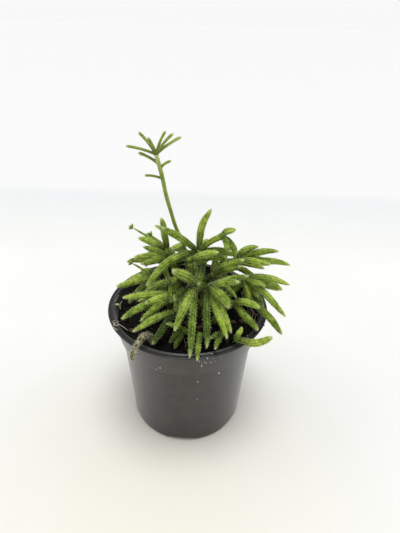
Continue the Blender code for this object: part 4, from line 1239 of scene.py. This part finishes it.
def strand_master(material):
    """A straight root or peat fibre on +Z, 8 mm long and 1 mm thick before it is bent and thinned."""
    bpy.ops.object.select_all(action="DESELECT")
    bpy.ops.mesh.primitive_cylinder_add(vertices=5, radius=0.5 * MM, depth=STRAND_LENGTH * MM,
                                        end_fill_type="TRIFAN", location=(0, 0, STRAND_LENGTH / 2 * MM))
    item = made("strand")
    edit(item)
    pick(item, lambda e: abs(e.verts[0].co.z - e.verts[1].co.z) > MM, "edges")
    bpy.ops.mesh.subdivide(number_cuts=7)
    leave_edit()
    for vertex in item.data.vertices:
        swell = 1 + 0.3 * noise.noise(vertex.co / MM)
        vertex.co.x *= swell
        vertex.co.y *= swell
    item.data.materials.append(material)
    item.data.shade_smooth()
    return item


def strand_line(lengths, stems, draw):
    """A line that wanders over the soil from a free spot."""
    x, y = free_spot(stems, STRAND_REACH, 1.0, draw)
    size, way = draw.uniform(*lengths), draw.uniform(0, 2 * math.pi)
    line = [(x, y, ground(x, y) + 0.6)]
    for _ in range(3):
        way += draw.uniform(-0.7, 0.7)
        x, y = x + size / 3 * math.cos(way), y + size / 3 * math.sin(way)
        line.append((x, y, ground(x, y) + draw.uniform(0.2, 1.0)))
    return line


def make_soil(layout):
    stems = [(line[0][0], line[0][1], girths[0]) for _, line, girths, kind in layout.pieces
             if kind in ("stalk", "shoot", "dry") and line[0][2] < SOIL_EDGE_HEIGHT - SOIL_DOME]
    looks = {"crumb": peat(),
             "bark": plant_litter("bark_chip", "#120e0a", "#54432e", 700),
             "perlite": plant_litter("perlite", "#a9a79c", "#e4e2d8", 900),
             "fibre": plant_litter("peat_fibre", "#2b2116", "#76624a", 900),
             "root": plant_litter("fine_root", "#8b8266", "#d3ccb2", 900)}
    draw = random.Random(21)
    parts = [soil_body(looks["crumb"])]
    for lots, kind, *lot in STREWN_BITS:
        parts += [strewn(kind, looks[kind], *lot, stems, draw) for _ in range(lots)]
    for kind, *place in SINGLE_BITS:
        master = earth_master(kind, looks[kind], draw)
        parts.append(copies(kind, master, [bit_place(*place)], [draw.uniform(0.3, 0.8)]))
        discard(master)
    for kind, count, lengths, width in STRANDS:
        strand = strand_master(looks[kind])
        for _ in range(count):
            line = strand_line(lengths, stems, draw)
            if math.hypot(*line[-1][:2]) < COLLAR_FOOT_RADIUS - 1:
                girth = width * draw.uniform(0.7, 1.3)
                parts.append(bent_copy(kind, strand, STRAND_LENGTH, line, girth, 0, draw.random()))
        for line in LOOSE_ROOTS if kind == "root" else ():
            girth = draw.uniform(0.34, 0.5)
            parts.append(bent_copy(kind, strand, STRAND_LENGTH, line, girth, 0, draw.random()))
        discard(strand)
    scrap = strand_master(plant_litter("leaf_scrap", "#8b9654", "#cdd39a", 500))
    parts.append(bent_copy("scrap", scrap, STRAND_LENGTH, SCRAP_LINE, 1.5, 0, 0.6))
    discard(scrap)
    piece = joined("peat_bed", parts)
    finish_piece(piece, None, ("soil",), "potting_soil")
    piece.data.shade_smooth()


# Studio
def make_studio():
    """White paper to stand on, a white room that is darker behind the camera, soft light from above,
    the front and both sides, and the fitted camera."""
    bpy.ops.object.select_all(action="DESELECT")
    bpy.ops.mesh.primitive_plane_add(size=BACKDROP_METRES, location=(0, 0, 0))
    board = made("backdrop")
    board.data.materials.append(backdrop_paper())

    world = bpy.data.worlds.new("white_room")
    bpy.context.scene.world = world
    world.use_nodes = True
    tree = world.node_tree
    view = add_node(tree, "TexCoord", out="Generated")
    axes = add_node(tree, "SeparateXYZ", {"Vector": view}).node.outputs
    depth = add_node(tree, "MapRange", {"Value": axes["Y"], "From Min": -0.9, "From Max": 0.2,
                                        "To Min": 0.4, "To Max": 1.0})
    height = add_node(tree, "MapRange", {"Value": axes["Z"], "From Min": 0.05, "From Max": 0.5,
                                         "To Min": 0.95, "To Max": 0.38})
    room = add_node(tree, "Math", {0: depth, 1: height}, operation="MULTIPLY")
    feed(tree.nodes["Background"], {"Color": linear("#fefefe"), "Strength": room})

    for name, away, strength, spread in LAMPS:
        lamp = bpy.data.lights.new(name, "SUN")
        lamp.energy, lamp.angle = strength, math.radians(spread)
        item = placed(name, lamp)
        item.rotation_euler = Vector(away).to_track_quat("Z", "Y").to_euler()

    lens = bpy.data.cameras.new("photo_camera")
    lens.sensor_fit = "VERTICAL"
    lens.sensor_height = SENSOR_HEIGHT
    lens.lens = FOCAL_PIXELS / FRAME_HEIGHT * SENSOR_HEIGHT
    lens.clip_start = 0.001
    camera = placed("photo_camera", lens)
    ahead = Vector((0, math.cos(CAMERA_PITCH), -math.sin(CAMERA_PITCH)))
    right = Vector((1, 0, 0))
    up = right.cross(ahead)
    c, s = math.cos(CAMERA_ROLL), math.sin(CAMERA_ROLL)
    turn = Matrix((c * right + s * up, c * up - s * right, -ahead)).transposed().to_4x4()
    turn.translation = Vector(CAMERA_PLACE) * MM
    camera.matrix_world = turn
    bpy.context.scene.camera = camera
    bpy.context.scene.view_settings.view_transform = "Standard"


make_studio()
make_pot()
plant = plant_layout()
make_soil(plant)
make_plant(plant)
